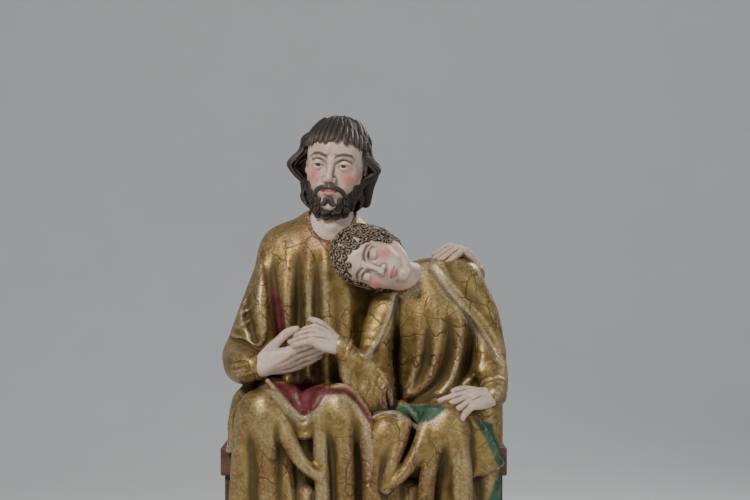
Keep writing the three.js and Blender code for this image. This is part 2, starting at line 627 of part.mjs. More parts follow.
function youthSkirt(clay) {
  const folds = [
    [20, [46, 636, -166, 24], [30, 600, -182, 21], [26, 540, -188, 20], [28, 460, -191, 20],
      [32, 300, -194, 24], [34, 80, -196, 30]],
    [22, [62, 626, -180, 32], [66, 570, -186, 22], [70, 460, -182, 20], [78, 300, -190, 24],
      [80, 80, -196, 30]],
    [10, [96, 640, -176, 22], [91, 606, -188, 18], [80, 575, -196, 16], [64, 530, -203, 14],
      [50, 490, -203, 12]],
    [12, [172, 660, -174, 26], [154, 632, -187, 23], [135, 584, -200, 20], [101, 530, -208, 16],
      [60, 488, -207, 12]],
    [22, [118, 480, -172, 20], [114, 400, -180, 22], [112, 80, -192, 30]],
    [18, [198, 652, -184, 32], [178, 608, -195, 23], [164, 560, -199, 21], [150, 460, -200, 21],
      [150, 300, -202, 26], [154, 80, -204, 34]],
    [18, [212, 650, -182, 34], [226, 600, -191, 27], [236, 540, -195, 27], [238, 460, -195, 28],
      [246, 300, -198, 32], [252, 80, -200, 38]],
  ];
  for (const [soft, ...rows] of folds) hang(clay, rows, soft);
}

// His mantle's hem on the lap, the zigzag of cloth at the near elbow, and the sleeve's pleats.
function youthLap(clay) {
  clay.add(limb([[60, -80, 672, 22], [130, -96, 660, 24], [196, -84, 676, 22]]), 12);
  hang(clay, [[18, 652, -160, 9], [50, 664, -166, 10], [84, 664, -162, 10], [108, 646, -156, 10],
    [134, 632, -152, 10], [158, 646, -158, 10], [178, 662, -166, 10], [206, 676, -172, 9]], 8);
  hang(clay, [[2, 792, -136, 11], [22, 778, -142, 12], [46, 754, -144, 12]], 9);
  hang(clay, [[46, 754, -144, 12], [32, 732, -144, 12], [10, 744, -140, 10]], 9);
  for (let n = 0; n < 3; n++) {
    const x = -36 + 28 * n;
    hang(clay, [[x, 786 - 16 * n, -152 + 6 * n, 10], [x, 750 - 18 * n, -157 + 7 * n, 11],
      [x + 6, 726 - 22 * n, -149 + 7 * n, 9]], 10);
  }
}

// The front of a bare foot under the hem, with its toes. side is 1 where the big toe is on the right.
function foot(clay, x, side) {
  clay.add(limb([[x, -120, BASE_HEIGHT + 26, 30], [x, -188, BASE_HEIGHT + 18, 20]]), 12);
  for (let toe = 0; toe < 4; toe++) {
    const place = x + side * (20 - 13.5 * toe);
    const reach = -222 + 5 * toe;
    clay.add(limb([[place, -184, BASE_HEIGHT + 12, 10], [place, reach, BASE_HEIGHT + 8, 9 - toe * 0.4]]), 3);
  }
}

const clay = new Clay(LOW, HIGH, CELL);
manBody(clay);
youthBody(clay);
manFolds(clay);
youthFolds(clay);
manSkirt(clay);
manLap(clay);
youthSkirt(clay);
youthLap(clay);
cuff(clay, [-250, -105, 778], [0.95, -0.2, 0.1], 27, 10);
cuff(clay, [-44, -135, 821], [-0.85, -0.12, 0.4], 23, 10);
cuff(clay, [320, -96, 724], [0.05, -0.8, -0.6], 27, 10);
[[-236, 1], [-66, -1], [66, 1], [220, -1]].forEach(([x, side]) => foot(clay, x, side));
clay.add(limb([[...add(MAN.neckBase, [0, -14, -20]), 54], [-78, 40, 1190, 50], [-76, 40, 1240, 52]]), 10);
clay.add(limb([[...YOUTH.neckBase, 44], [100, -44, 996, 42], [64, -60, 1014, 44]]), 10);
const manHead = head(clay, MAN);
wavyHair(manHead);
beard(manHead);
curls(head(clay, YOUTH));
hand(clay, frameAt(MAN.wrist, [0.95, -0.06, 0.26], [0.1, -0.75, -0.65]), {
  length: 186,
  thumbSide: 1,
  bend: [[-2, 4], [2, 6], [6, 8], [10, 12]],
  thumbLift: -42,
});
hand(clay, frameAt(YOUTH.wrist, [-0.9, -0.12, 0.4], [0.2, -0.66, 0.7]), {
  length: 158,
  thumbSide: -1,
  bend: [[52, 14], [48, 14], [44, 14], [40, 14]],
});
hand(clay, frameAt(YOUTH.farWrist, [-0.9, -0.42, -0.12], [0.1, -0.5, 0.86]), {
  length: 160,
  thumbSide: -1,
  bend: [[10, 14], [14, 16], [24, 22], [30, 24]],
  spread: 9,
});
hand(clay, frameAt([276, 62, 1024], [-0.5, -0.62, 0.5], [0.3, -0.1, 1]), {
  length: 168,
  thumbSide: 1,
  bend: [[60, 10], [58, 10], [56, 12], [54, 14]],
});

// The skin of the clay, by marching through each cell's six tetrahedra. Every tetrahedron climbs from
// the cell's low corner to its high corner, one axis at a time.
const CLIMBS = [[1, 2], [1, 4], [2, 1], [2, 4], [4, 1], [4, 2]].map(([a, b]) => [0, a, a + b, 7]);

function skin(clay) {
  const { field, count, low, cell } = clay;
  const places = [];
  const faces = [];
  const known = new Map();
  const shift = (corner) => clay.index(corner & 1, (corner >> 1) & 1, corner >> 2);
  const offsets = Array.from({ length: 8 }, (_, corner) => shift(corner));
  const cornerOf = (origin, corner) => origin.map((v, axis) => v + ((corner >> axis) & 1));
  // The point where the skin crosses the edge between two corners of a cell.
  const crossing = (origin, base, a, b) => {
    const [from, to] = a < b ? [a, b] : [b, a];
    const key = (base + offsets[from]) * 8 + (to - from);
    if (!known.has(key)) {
      const da = field[base + offsets[from]];
      const db = field[base + offsets[to]];
      const t = Math.min(0.92, Math.max(0.08, da / (da - db)));
      const ends = [cornerOf(origin, from), cornerOf(origin, to)];
      known.set(key, places.length / 3);
      places.push(...between(ends[0], ends[1], t).map((v, k) => low[k] + v * cell));
    }
    return known.get(key);
  };
  // Turns each face outwards: its normal points from the corner inside to the corner outside.
  const face = (origin, a, b, c, inside, outside) => {
    const [p, q, r] = [a, b, c].map((v) => new THREE.Vector3().fromArray(places, 3 * v));
    const normal = q.sub(p).cross(r.sub(p));
    const [from, to] = [cornerOf(origin, inside), cornerOf(origin, outside)];
    const out = normal.x * (to[0] - from[0]) + normal.y * (to[1] - from[1]) + normal.z * (to[2] - from[2]);
    faces.push(...(out > 0 ? [a, b, c] : [a, c, b]));
  };
  for (let i = 0; i < count[0] - 1; i++)
    for (let j = 0; j < count[1] - 1; j++)
      for (let k = 0; k < count[2] - 1; k++) {
        const base = clay.index(i, j, k);
        const inner = offsets.filter((offset) => field[base + offset] < 0).length;
        if (inner === 0 || inner === 8) continue;
        const origin = [i, j, k];
        for (const climb of CLIMBS) {
          const ins = climb.filter((corner) => field[base + offsets[corner]] < 0);
          const outs = climb.filter((corner) => field[base + offsets[corner]] >= 0);
          const cross = (a, b) => crossing(origin, base, a, b);
          if (ins.length === 1) face(origin, ...outs.map((o) => cross(ins[0], o)), ins[0], outs[0]);
          if (ins.length === 3) face(origin, ...ins.map((n) => cross(n, outs[0])), ins[0], outs[0]);
          if (ins.length === 2) {
            const pairs = [[0, 0], [0, 1], [1, 1], [1, 0]];
            const ring = pairs.map(([m, n]) => cross(ins[m], outs[n]));
            face(origin, ring[0], ring[1], ring[2], ins[0], outs[0]);
            face(origin, ring[0], ring[2], ring[3], ins[0], outs[0]);
          }
        }
      }
  return { places, faces };
}

// Thins a closed skin by folding up, again and again, the edge whose loss moves the shape least:
// the squared distances to the planes of the faces around it, summed, say how much that is.
function thinned({ places, faces }, target) {
  const place = Float64Array.from(places);
  const face = Int32Array.from(faces);
  const vertices = place.length / 3;
  const around = Array.from({ length: vertices }, () => new Set());
  face.forEach((v, n) => around[v].add((n / 3) | 0));
  const planes = new Float64Array(vertices * 10);
  const stamp = new Int32Array(vertices);
  let left = face.length / 3;
  const point = (v) => [place[3 * v], place[3 * v + 1], place[3 * v + 2]];
  const normalOf = (p, q, r) => {
    const [ux, uy, uz] = q.map((v, k) => v - p[k]);
    const [vx, vy, vz] = r.map((v, k) => v - p[k]);
    return [uy * vz - uz * vy, uz * vx - ux * vz, ux * vy - uy * vx];
  };
  for (let f = 0; f < left; f++) {
    const corners = [face[3 * f], face[3 * f + 1], face[3 * f + 2]];
    const n = normalOf(...corners.map(point));
    const area = Math.hypot(...n) || 1e-9;
    const [a, b, c] = n.map((v) => v / area);
    const [x, y, z] = point(corners[0]);
    const d = -(a * x + b * y + c * z);
    const terms = [a * a, a * b, a * c, a * d, b * b, b * c, b * d, c * c, c * d, d * d];
    for (const v of corners) terms.forEach((term, k) => (planes[10 * v + k] += term * area));
  }
  const best = (a, b) => {
    const q = Array.from({ length: 10 }, (_, k) => planes[10 * a + k] + planes[10 * b + k]);
    const error = ([x, y, z]) =>
      x * (q[0] * x + 2 * (q[1] * y + q[2] * z + q[3])) +
      y * (q[4] * y + 2 * (q[5] * z + q[6])) +
      z * (q[7] * z + 2 * q[8]) +
      q[9];
    const matrix = new THREE.Matrix3().set(q[0], q[1], q[2], q[1], q[4], q[5], q[2], q[5], q[7]);
    const tries = [between(point(a), point(b), 0.5), point(a), point(b)];
    const size = Math.cbrt(Math.abs(matrix.determinant()));
    if (size > 0.02 * (q[0] + q[4] + q[7])) {
      const solved = new THREE.Vector3(-q[3], -q[6], -q[8]).applyMatrix3(matrix.invert()).toArray();
      const reach = Math.hypot(...solved.map((v, k) => v - tries[0][k]));
      if (reach < 2 * Math.hypot(...tries[1].map((v, k) => v - tries[2][k]))) tries.push(solved);
    }
    const errors = tries.map(error);
    const least = errors.indexOf(Math.min(...errors));
    return { cost: errors[least], to: tries[least] };
  };
  const heap = [];
  const lower = (i, j) => heap[i].cost < heap[j].cost;
  const swap = (i, j) => ([heap[i], heap[j]] = [heap[j], heap[i]]);
  const push = (a, b) => {
    heap.push({ a, b, stamp: stamp[a] + stamp[b], ...best(a, b) });
    for (let i = heap.length - 1; i > 0 && lower(i, (i - 1) >> 1); i = (i - 1) >> 1) swap(i, (i - 1) >> 1);
  };
  const pop = () => {
    swap(0, heap.length - 1);
    const top = heap.pop();
    for (let i = 0; ; ) {
      let least = i;
      for (const child of [2 * i + 1, 2 * i + 2])
        if (child < heap.length && lower(child, least)) least = child;
      if (least === i) return top;
      swap(i, least);
      i = least;
    }
  };
  const neighbours = (v) => {
    const found = new Set();
    for (const f of around[v]) for (let k = 0; k < 3; k++) found.add(face[3 * f + k]);
    found.delete(v);
    return found;
  };
  // A fold of the edge is refused where it would pinch the skin or turn a face over.
  const allowed = (a, b, to) => {
    const near = neighbours(a);
    let shared = 0;
    for (const v of neighbours(b)) if (near.has(v)) shared++;
    if (shared !== 2) return false;
    for (const [v, other] of [[a, b], [b, a]])
      for (const f of around[v]) {
        const corners = [face[3 * f], face[3 * f + 1], face[3 * f + 2]];
        if (corners.includes(other)) continue;
        const old = normalOf(...corners.map(point));
        const now = normalOf(...corners.map((c) => (c === v ? to : point(c))));
        const dot = old[0] * now[0] + old[1] * now[1] + old[2] * now[2];
        const turn = dot / (Math.hypot(...old) * Math.hypot(...now) || 1);
        if (turn < 0.3) return false;
      }
    return true;
  };
  for (let v = 0; v < vertices; v++) for (const n of neighbours(v)) if (n > v) push(v, n);
  while (left > target && heap.length) {
    const { a, b, stamp: was, to } = pop();
    if (stamp[a] < 0 || stamp[b] < 0 || was !== stamp[a] + stamp[b] || !allowed(a, b, to)) continue;
    for (const f of [...around[b]]) {
      const at = [0, 1, 2].find((k) => face[3 * f + k] === b);
      if (around[a].has(f)) {
        for (let k = 0; k < 3; k++) around[face[3 * f + k]].delete(f);
        left--;
      } else {
        face[3 * f + at] = a;
        around[a].add(f);
      }
    }
    around[b].clear();
    place.set(to, 3 * a);
    for (let k = 0; k < 10; k++) planes[10 * a + k] += planes[10 * b + k];
    stamp[a]++;
    stamp[b] = -1e9;
    for (const n of neighbours(a)) push(a, n);
  }
  const kept = new Set(around.flatMap((set) => [...set]));
  return { places: place, faces: [...kept].flatMap((f) => [face[3 * f], face[3 * f + 1], face[3 * f + 2]]) };
}

const wasm = await Module();
wasm.setup();

// A closed mesh's geometry as a solid that can be joined and cut.
function solid(geometry) {
  const bare = new THREE.BufferGeometry().setAttribute("position", geometry.getAttribute("position"));
  bare.setIndex(geometry.index);
  const merged = mergeVertices(bare);
  return new wasm.Manifold(
    new wasm.Mesh({
      numProp: 3,
      vertProperties: merged.attributes.position.array,
      triVerts: new Uint32Array(merged.index.array),
    }),
  );
}

function geometryOf(manifold) {
  const { vertProperties, triVerts } = manifold.getMesh();
  const geometry = new THREE.BufferGeometry();
  geometry.setAttribute("position", new THREE.BufferAttribute(vertProperties, 3));
  return geometry.setIndex(new THREE.BufferAttribute(triVerts, 1));
}

// A box from its lowest to its highest corner, grown on every side by a gap.
function box(low, high, gap = 0) {
  const size = high.map((h, k) => h - low[k] + 2 * gap);
  return new THREE.BoxGeometry(...size).translate(...low.map((l, k) => (l + high[k]) / 2));
}

clay.trim();
const carving = thinned(skin(clay), GROUP_TRIANGLES);
const skinGeometry = new THREE.BufferGeometry();
skinGeometry.setAttribute("position", new THREE.BufferAttribute(Float32Array.from(carving.places), 3));
skinGeometry.setIndex(carving.faces);

const seatBox = [
  [-SEAT_HALF_WIDTH, SEAT_FRONT, SEAT_TOP - SEAT_THICKNESS],
  [SEAT_HALF_WIDTH, BENCH_BACK, SEAT_TOP],
];
const boardFoot = BASE_HEIGHT + JOINT_GAP;
const sides = [-1, 1].map((side) => {
  const ends = [side * BOARD_HALF_WIDTH, side * (BOARD_HALF_WIDTH - BOARD_THICKNESS)].sort((a, b) => a - b);
  return [[ends[0], BENCH_FRONT, boardFoot], [ends[1], BENCH_BACK, SEAT_TOP - 1]];
});
const inner = BOARD_HALF_WIDTH - 1;
const panelBox = [[-inner, PANEL_FRONT, boardFoot], [inner, BENCH_BACK, SEAT_TOP - 1]];
const baseBox = [[-WIDTH / 2, -DEPTH / 2, 0], [WIDTH / 2, DEPTH / 2, BASE_HEIGHT]];
const carved = [seatBox, ...sides, panelBox, baseBox].reduce(
  (wood, [low, high]) => wood.subtract(solid(box(low, high, JOINT_GAP))),
  solid(skinGeometry),
);
const joined = (made, board) => made.add(solid(box(...board)));
const bench = [...sides, panelBox].reduce(joined, solid(box(...seatBox)));

const group = new THREE.Group();
const wood = (name, geometry, material) => {
  const mesh = new THREE.Mesh(geometry, new THREE.MeshStandardMaterial(material));
  mesh.name = name;
  group.add(mesh);
};
wood("seated_group", geometryOf(carved), { color: 0x8a6a38, roughness: 0.45, metalness: 0.35 });
wood("bench", geometryOf(bench), { color: 0x6a4a30, roughness: 0.7, metalness: 0 });
wood("base", box(...baseBox), { color: 0x5a4028, roughness: 0.75, metalness: 0 });

export default group;
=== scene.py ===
# %% [markdown]
# # A carved, gilded and painted group
# A bearded man sits on a bench with a sleeping youth's head on his breast. On the real object the two
# figures, their robes, hair and hands are cut from one block of wood, primed, gilded and painted.
# Here each figure is modelled like clay: soft rods and eggs are blended on a grid of distances, folds
# are pressed into the front, and a skin is drawn where the distance is nought. It suits carving better
# than boxes and modifiers do, because rounded forms melt into each other as a gouge leaves them.
# Sizes in the clay are millimetres, with +Z up and the figures facing -Y, and the meshes are in metres.

# %% The frame and the camera
import itertools
import math

import bmesh
import bpy
import numpy as np
from mathutils import Euler, Matrix, Vector


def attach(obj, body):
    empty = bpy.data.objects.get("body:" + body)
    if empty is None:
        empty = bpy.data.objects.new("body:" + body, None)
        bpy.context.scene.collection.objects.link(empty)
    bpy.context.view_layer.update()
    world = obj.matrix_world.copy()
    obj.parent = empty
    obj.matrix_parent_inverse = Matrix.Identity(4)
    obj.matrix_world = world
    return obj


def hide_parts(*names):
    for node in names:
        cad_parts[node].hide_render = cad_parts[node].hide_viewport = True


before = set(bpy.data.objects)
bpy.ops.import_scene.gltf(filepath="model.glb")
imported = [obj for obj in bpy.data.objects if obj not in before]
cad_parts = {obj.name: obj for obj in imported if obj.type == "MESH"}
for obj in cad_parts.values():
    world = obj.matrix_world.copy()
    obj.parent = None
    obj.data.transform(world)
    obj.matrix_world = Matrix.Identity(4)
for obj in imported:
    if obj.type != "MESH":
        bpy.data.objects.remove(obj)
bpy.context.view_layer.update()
MM = 0.001

VIEW_HEIGHT = 1063.0
VIEW_SIDE = 28.0
VIEW_DISTANCE = 4000.0
FIELD_WIDTH = 1897.5
SENSOR = 36.0

camera_data = bpy.data.cameras.new("view")
camera_data.sensor_width = SENSOR
camera_data.lens = SENSOR * VIEW_DISTANCE / FIELD_WIDTH
camera = bpy.data.objects.new("view", camera_data)
camera.location = Vector((VIEW_SIDE, -VIEW_DISTANCE, VIEW_HEIGHT)) * MM
camera.rotation_euler = (math.pi / 2, 0, 0)
bpy.context.scene.collection.objects.link(camera)
bpy.context.scene.camera = camera
print("lens", round(camera_data.lens, 1), "mm")

# %% [markdown]
# ## Clay
# A path runs smoothly through a few rows of numbers, which hold a place and a thickness together.
# A shape is a list of parts, each with the box that it reaches and the distance from points to its skin.
# Only the grid points near a part are worked, so a fine grid stays quick.

# %% Paths and shapes
FAR = 1e3


def smooth_path(rows, steps=4):
    """Rows of numbers joined by smooth curves, as a table with so many rows for each stretch."""
    rows = np.array(rows, float)
    ends = np.vstack([rows[:1], rows, rows[-1:]])
    t = (np.arange(steps) / steps)[:, None]
    path = []
    for a, b, c, d in zip(ends, ends[1:], ends[2:], ends[3:]):
        slope_in, slope_out, rise = (c - a) / 2, (d - b) / 2, c - b
        cubic = slope_in + slope_out - 2 * rise
        path.append(b + t * (slope_in + t * (3 * rise - 2 * slope_in - slope_out + t * cubic)))
    return np.vstack([*path, rows[-1:]])


def limb(rows, steps=4, flat=None):
    """A round rod of changing thickness along [x, y, z, radius] rows. flat = (direction, times) makes
    it a strap, thinner by so many times along that direction."""
    path = smooth_path(rows, steps)
    direction, times = (np.zeros(3), 1.0) if flat is None else (np.array(flat[0], float), flat[1])

    def stretch(x, y, z):
        lift = (x * direction[0] + y * direction[1] + z * direction[2]) * (times - 1)
        return x + direction[0] * lift, y + direction[1] * lift, z + direction[2] * lift

    def rod(start, end):
        a, b = (np.array(stretch(*point[:3])) for point in (start, end))
        along, grow = b - a, end[3] - start[3]
        long2 = max(float(along @ along), 1e-9)

        def distance(x, y, z):
            if flat is not None:
                x, y, z = stretch(x, y, z)
            px, py, pz = x - a[0], y - a[1], z - a[2]
            t = np.clip((px * along[0] + py * along[1] + pz * along[2]) / long2, 0, 1)
            px, py, pz = px - t * along[0], py - t * along[1], pz - t * along[2]
            return np.sqrt(px * px + py * py + pz * pz) - start[3] - t * grow

        pair = np.array([start[:3] - start[3], end[:3] - end[3], start[:3] + start[3], end[:3] + end[3]])
        return pair.min(0), pair.max(0), distance

    return [rod(a, b) for a, b in zip(path, path[1:])]


def egg(centre, half, turn=None):
    """An egg with three half-axes, turned by a matrix."""
    half = np.array(half, float)
    centre = np.array(centre, float)
    back = np.eye(3) if turn is None else np.array(turn).T

    def distance(x, y, z):
        px, py, pz = x - centre[0], y - centre[1], z - centre[2]
        q = [(row[0] * px + row[1] * py + row[2] * pz) / h for row, h in zip(back, half)]
        inner = np.sqrt(q[0] ** 2 + q[1] ** 2 + q[2] ** 2)
        outer = np.sqrt((q[0] / half[0]) ** 2 + (q[1] / half[1]) ** 2 + (q[2] / half[2]) ** 2)
        return inner * (inner - 1) / np.maximum(outer, 1e-9)

    reach = half.max() if turn is not None else half
    return [(centre - reach, centre + reach, distance)]


# %% [markdown]
# The clay itself is a grid of distances, negative inside. Adding takes the smaller of two distances and
# rounds the join over a soft band, which is how a carver leaves an inner corner. Folds are easier to
# draw than to place in space, so a swell, a layer or a seam is given as it looks from in front, and the
# clay finds its own front surface there.

# %% The clay
class Clay:
    def __init__(self, low, high, cell):
        self.low = np.array(low, float)
        self.cell = cell
        self.count = (np.ceil((np.array(high) - self.low) / cell) + 1).astype(int)
        self.field = np.full(self.count, FAR, np.float32)

    def window(self, low, high):
        """The slices of the grid that cover a box, and the x, y and z of their points."""
        first = np.clip(np.floor((np.array(low) - self.low) / self.cell), 0, self.count).astype(int)
        last = np.clip(np.ceil((np.array(high) - self.low) / self.cell) + 1, 0, self.count).astype(int)
        axes = [np.float32(self.low[k] + self.cell * np.arange(first[k], last[k])) for k in range(3)]
        slices = tuple(slice(a, b) for a, b in zip(first, last))
        return slices, np.meshgrid(*axes, indexing="ij", sparse=True)

    def work(self, shape, soft, cut=False):
        margin = soft + 4 * self.cell
        low = np.min([part[0] for part in shape], 0) - margin
        high = np.max([part[1] for part in shape], 0) + margin
        whole, _ = self.window(low, high)
        near = np.full([s.stop - s.start for s in whole], FAR, np.float32)
        if near.size == 0:
            return
        for part_low, part_high, distance in shape:
            part, places = self.window(part_low - margin, part_high + margin)
            local = tuple(slice(s.start - w.start, s.stop - w.start) for s, w in zip(part, whole))
            near[local] = np.minimum(near[local], distance(*places))
        side = -1 if cut else 1
        own = side * self.field[whole]
        overlap = np.maximum(soft - np.abs(own - near), 0) / max(soft, 1e-6)
        self.field[whole] = side * (np.minimum(own, near) - overlap * overlap * soft / 4)

    def add(self, shape, soft=12):
        self.work(shape, soft)

    def cut(self, shape, soft=8):
        self.work(shape, soft, cut=True)

    def sample(self, places):
        """The distance at any places, by mixing the eight grid points around each."""
        return sampled(self.field, self.low, self.cell, places)

    def front(self, x, z):
        """The y of the skin that a viewer in front sees at each (x, z), or nan past the edge."""
        at = np.clip((np.stack([x, z], -1) - self.low[[0, 2]]) / self.cell, 0, self.count[[0, 2]] - 1.001)
        i, k = np.floor(at).astype(int).T
        u, w = (at - np.floor(at)).T[:, :, None]
        columns = (self.field[i, :, k] * (1 - u) + self.field[i + 1, :, k] * u) * (1 - w)
        columns += (self.field[i, :, k + 1] * (1 - u) + self.field[i + 1, :, k + 1] * u) * w
        inside = columns < 0
        first = inside.argmax(1)
        rows = np.arange(len(first))
        here, before = columns[rows, first], columns[rows, np.maximum(first - 1, 0)]
        y = self.low[1] + self.cell * (first - here / (here - np.minimum(before, self.cell)))
        return np.where(inside.any(1), y, np.nan)

    def laid(self, rows, steps=8):
        """[x, z, a, b] rows laid on the front: a smooth [x, y, z, a, b] path, evened out in depth."""
        path = smooth_path(rows, steps)
        y = self.front(path[:, 0], path[:, 1])
        known = np.flatnonzero(~np.isnan(y))
        y = np.interp(np.arange(len(y)), known, y[known])
        padded = np.pad(y, 4, mode="edge")
        y = np.convolve(padded, np.ones(9) / 9, "valid")
        return np.column_stack([path[:, 0], y, path[:, 1], path[:, 2], path[:, 3]])

    def seam(self, rows, soft=6):
        """A rod laid along the front, such as a rolled hem: [x, z, radius, how proud] rows."""
        x, y, z, radius, proud = self.laid(rows).T
        self.add(limb(np.column_stack([x, y + radius - proud, z, radius]), steps=1), soft)

    def slit(self, rows, soft=6):
        """A rod cut out along the front: [x, z, radius, how deep] rows."""
        x, y, z, radius, deep = self.laid(rows).T
        self.cut(limb(np.column_stack([x, y - radius + deep, z, radius]), steps=1), soft)

    def raise_front(self, low, high, behind, rise):
        """Moves the front outwards by rise(x, z), down to so far behind it, in a box of (x, z)."""
        low3 = [low[0], self.low[1], low[1]]
        high3 = [high[0], self.low[1], high[1]]
        (si, _, sk), _ = self.window(low3, high3)
        si = slice(max(si.start, 1), min(si.stop, self.count[0] - 1))
        sk = slice(max(sk.start, 1), min(sk.stop, self.count[2] - 1))
        wide = (slice(si.start - 1, si.stop + 1), slice(sk.start - 1, sk.stop + 1))
        x = self.low[0] + self.cell * np.arange(wide[0].start, wide[0].stop)
        z = self.low[2] + self.cell * np.arange(wide[1].start, wide[1].stop)
        grid = np.meshgrid(x, z, indexing="ij")
        front = self.front(grid[0].ravel(), grid[1].ravel()).reshape(grid[0].shape)
        filled = np.nan_to_num(front, nan=FAR)
        slope = np.hypot(filled[2:, 1:-1] - filled[:-2, 1:-1], filled[1:-1, 2:] - filled[1:-1, :-2])
        facing = np.minimum(1, 4 * self.cell / (slope + self.cell))
        lift = rise(grid[0][1:-1, 1:-1], grid[1][1:-1, 1:-1]) * facing
        lift = evened(np.where(np.isnan(front[1:-1, 1:-1]), 0, lift))
        y = self.low[1] + self.cell * np.arange(self.count[1])
        left = np.clip((filled[1:-1, None, 1:-1] + behind - y[None, :, None]) / 20, 0, 1)
        self.field[si, :, sk] -= (lift[:, None, :] * left).astype(np.float32)

    def swell(self, rows, behind=50):
        """Raises the front along [x, z, width, height] rows. A height below nought presses a hollow."""
        path = smooth_path(rows, 6)
        reach = 2.2 * path[:, 2].max()
        low, high = path[:, :2].min(0) - reach, path[:, :2].max(0) + reach

        def rise(x, z):
            near = np.full(x.shape, FAR)
            height = np.zeros(x.shape)
            for (ax, az, width, tall), (bx, bz, width_end, tall_end) in zip(path, path[1:]):
                long2 = max((bx - ax) ** 2 + (bz - az) ** 2, 1e-9)
                t = np.clip(((x - ax) * (bx - ax) + (z - az) * (bz - az)) / long2, 0, 1)
                off = np.hypot(x - ax - t * (bx - ax), z - az - t * (bz - az))
                off = off / (width + t * (width_end - width))
                closer = off < near
                near = np.where(closer, off, near)
                height = np.where(closer, tall + t * (tall_end - tall), height)
            return np.where(near < 2.2, height * np.exp(-near * near), 0)

        self.raise_front(low, high, behind, rise)

    def layer(self, outline, thickness, behind=50, band=None):
        """A thickness of cloth over the front inside an (x, z) outline."""
        ring = smooth_path([*outline, outline[0]], 3)
        band = band or self.cell
        self.raise_front(
            ring.min(0) - band, ring.max(0) + band, behind, lambda x, z: thickness * inside(ring, x, z, band)
        )

    def trim(self):
        """Clears the outermost grid points, so that the skin closes where the clay runs past them."""
        for axis in range(3):
            for end in (0, -1):
                self.field[(slice(None),) * axis + (end,)] = self.cell


def evened(table):
    """The same table of numbers, each the mean of itself and its neighbours."""
    padded = np.pad(table, 1, mode="edge")
    rows, columns = table.shape
    return sum(padded[i:i + rows, j:j + columns] for i in range(3) for j in range(3)) / 9


def sampled(field, low, cell, places):
    at = np.clip((places - low) / cell, 0, np.array(field.shape) - 1.001)
    corner = np.floor(at).astype(int)
    share = at - corner
    total = 0
    for step in itertools.product((0, 1), repeat=3):
        weight = np.prod([s if n else 1 - s for n, s in zip(step, share.T)], axis=0)
        i, j, k = (corner + step).T
        total = total + weight * field[i, j, k]
    return total


def inside(ring, x, z, band):
    """How far points are inside a ring: 0 a band's width outside its edge, and 1 that far inside."""
    within = np.zeros(x.shape, bool)
    near = np.full(x.shape, FAR)
    for (ax, az), (bx, bz) in zip(ring, ring[1:]):
        if az != bz:
            within ^= ((az > z) != (bz > z)) & (x < ax + (z - az) / (bz - az) * (bx - ax))
        long2 = max((bx - ax) ** 2 + (bz - az) ** 2, 1e-9)
        t = np.clip(((x - ax) * (bx - ax) + (z - az) * (bz - az)) / long2, 0, 1)
        near = np.minimum(near, np.hypot(x - ax - t * (bx - ax), z - az - t * (bz - az)))
    return np.clip(0.5 + np.where(within, near, -near) / (2 * band), 0, 1)


# %% [markdown]
# The skin is drawn as a surface net: each grid cell that the skin crosses gets one point, at the mean of
# the crossings on its twelve edges, and each crossed edge gets a four-sided face between the points of
# its four cells. That gives an even, closed mesh, which one Decimate pass then thins where it is flat.

# %% From clay to mesh
def skin(clay):
    clay.trim()
    field = clay.field
    solid = field < 0
    corners = sum(
        solid[tuple(slice(n, n + size - 1) for n, size in zip(step, field.shape))].astype(np.uint8)
        for step in itertools.product((0, 1), repeat=3)
    )
    mixed = (corners > 0) & (corners < 8)
    cells = np.argwhere(mixed)
    number = np.zeros(mixed.shape, np.int32)
    number[mixed] = np.arange(len(cells))
    total = np.zeros((len(cells), 3))
    hits = np.zeros(len(cells))
    for axis in range(3):
        unit = np.eye(3, dtype=int)[axis]
        for pair in itertools.product((0, 1), repeat=2):
            start = np.insert(pair, axis, 0)
            a = field[tuple((cells + start).T)]
            b = field[tuple((cells + start + unit).T)]
            cross = (a < 0) != (b < 0)
            t = np.where(cross, a / np.where(cross, a - b, 1), 0)
            total += (start + t[:, None] * unit) * cross[:, None]
            hits += cross
    places = clay.low + (cells + total / hits[:, None]) * clay.cell
    faces = []
    for axis in range(3):
        a = solid[tuple(slice(0, -1) if n == axis else slice(1, -1) for n in range(3))]
        b = solid[tuple(slice(1, None) if n == axis else slice(1, -1) for n in range(3))]
        shift = np.array([0 if n == axis else 1 for n in range(3)])
        u, v = (np.eye(3, dtype=int)[(axis + n) % 3] for n in (1, 2))
        for leaving in (True, False):
            edge = np.argwhere((a != b) & (a == leaving)) + shift
            ring = [edge - u - v, edge - v, edge, edge - u]
            quad = np.stack([number[tuple(corner.T)] for corner in ring], 1)
            faces.append(quad if leaving else quad[:, ::-1])
    return places, np.vstack(faces)


def mesh_object(name, places, faces):
    """An object made of points in millimetres and four-sided faces."""
    mesh = bpy.data.meshes.new(name)
    mesh.vertices.add(len(places))
    mesh.vertices.foreach_set("co", (places * MM).astype(np.float32).ravel())
    mesh.loops.add(faces.size)
    mesh.loops.foreach_set("vertex_index", faces.astype(np.int32).ravel())
    mesh.polygons.add(len(faces))
    mesh.polygons.foreach_set("loop_start", np.arange(0, faces.size, faces.shape[1], dtype=np.int32))
    mesh.update(calc_edges=True)
    mesh.validate()
    piece = bpy.data.objects.new(name, mesh)
    bpy.context.scene.collection.objects.link(piece)
    return piece


def applied(piece, kind, **settings):
    """Adds one modifier, and bakes it into the mesh."""
    modifier = piece.modifiers.new(kind.lower(), kind)
    for key, value in settings.items():
        setattr(modifier, key, value)
    baked = bpy.data.meshes.new_from_object(piece.evaluated_get(bpy.context.evaluated_depsgraph_get()))
    piece.modifiers.clear()
    piece.data = baked
    return piece


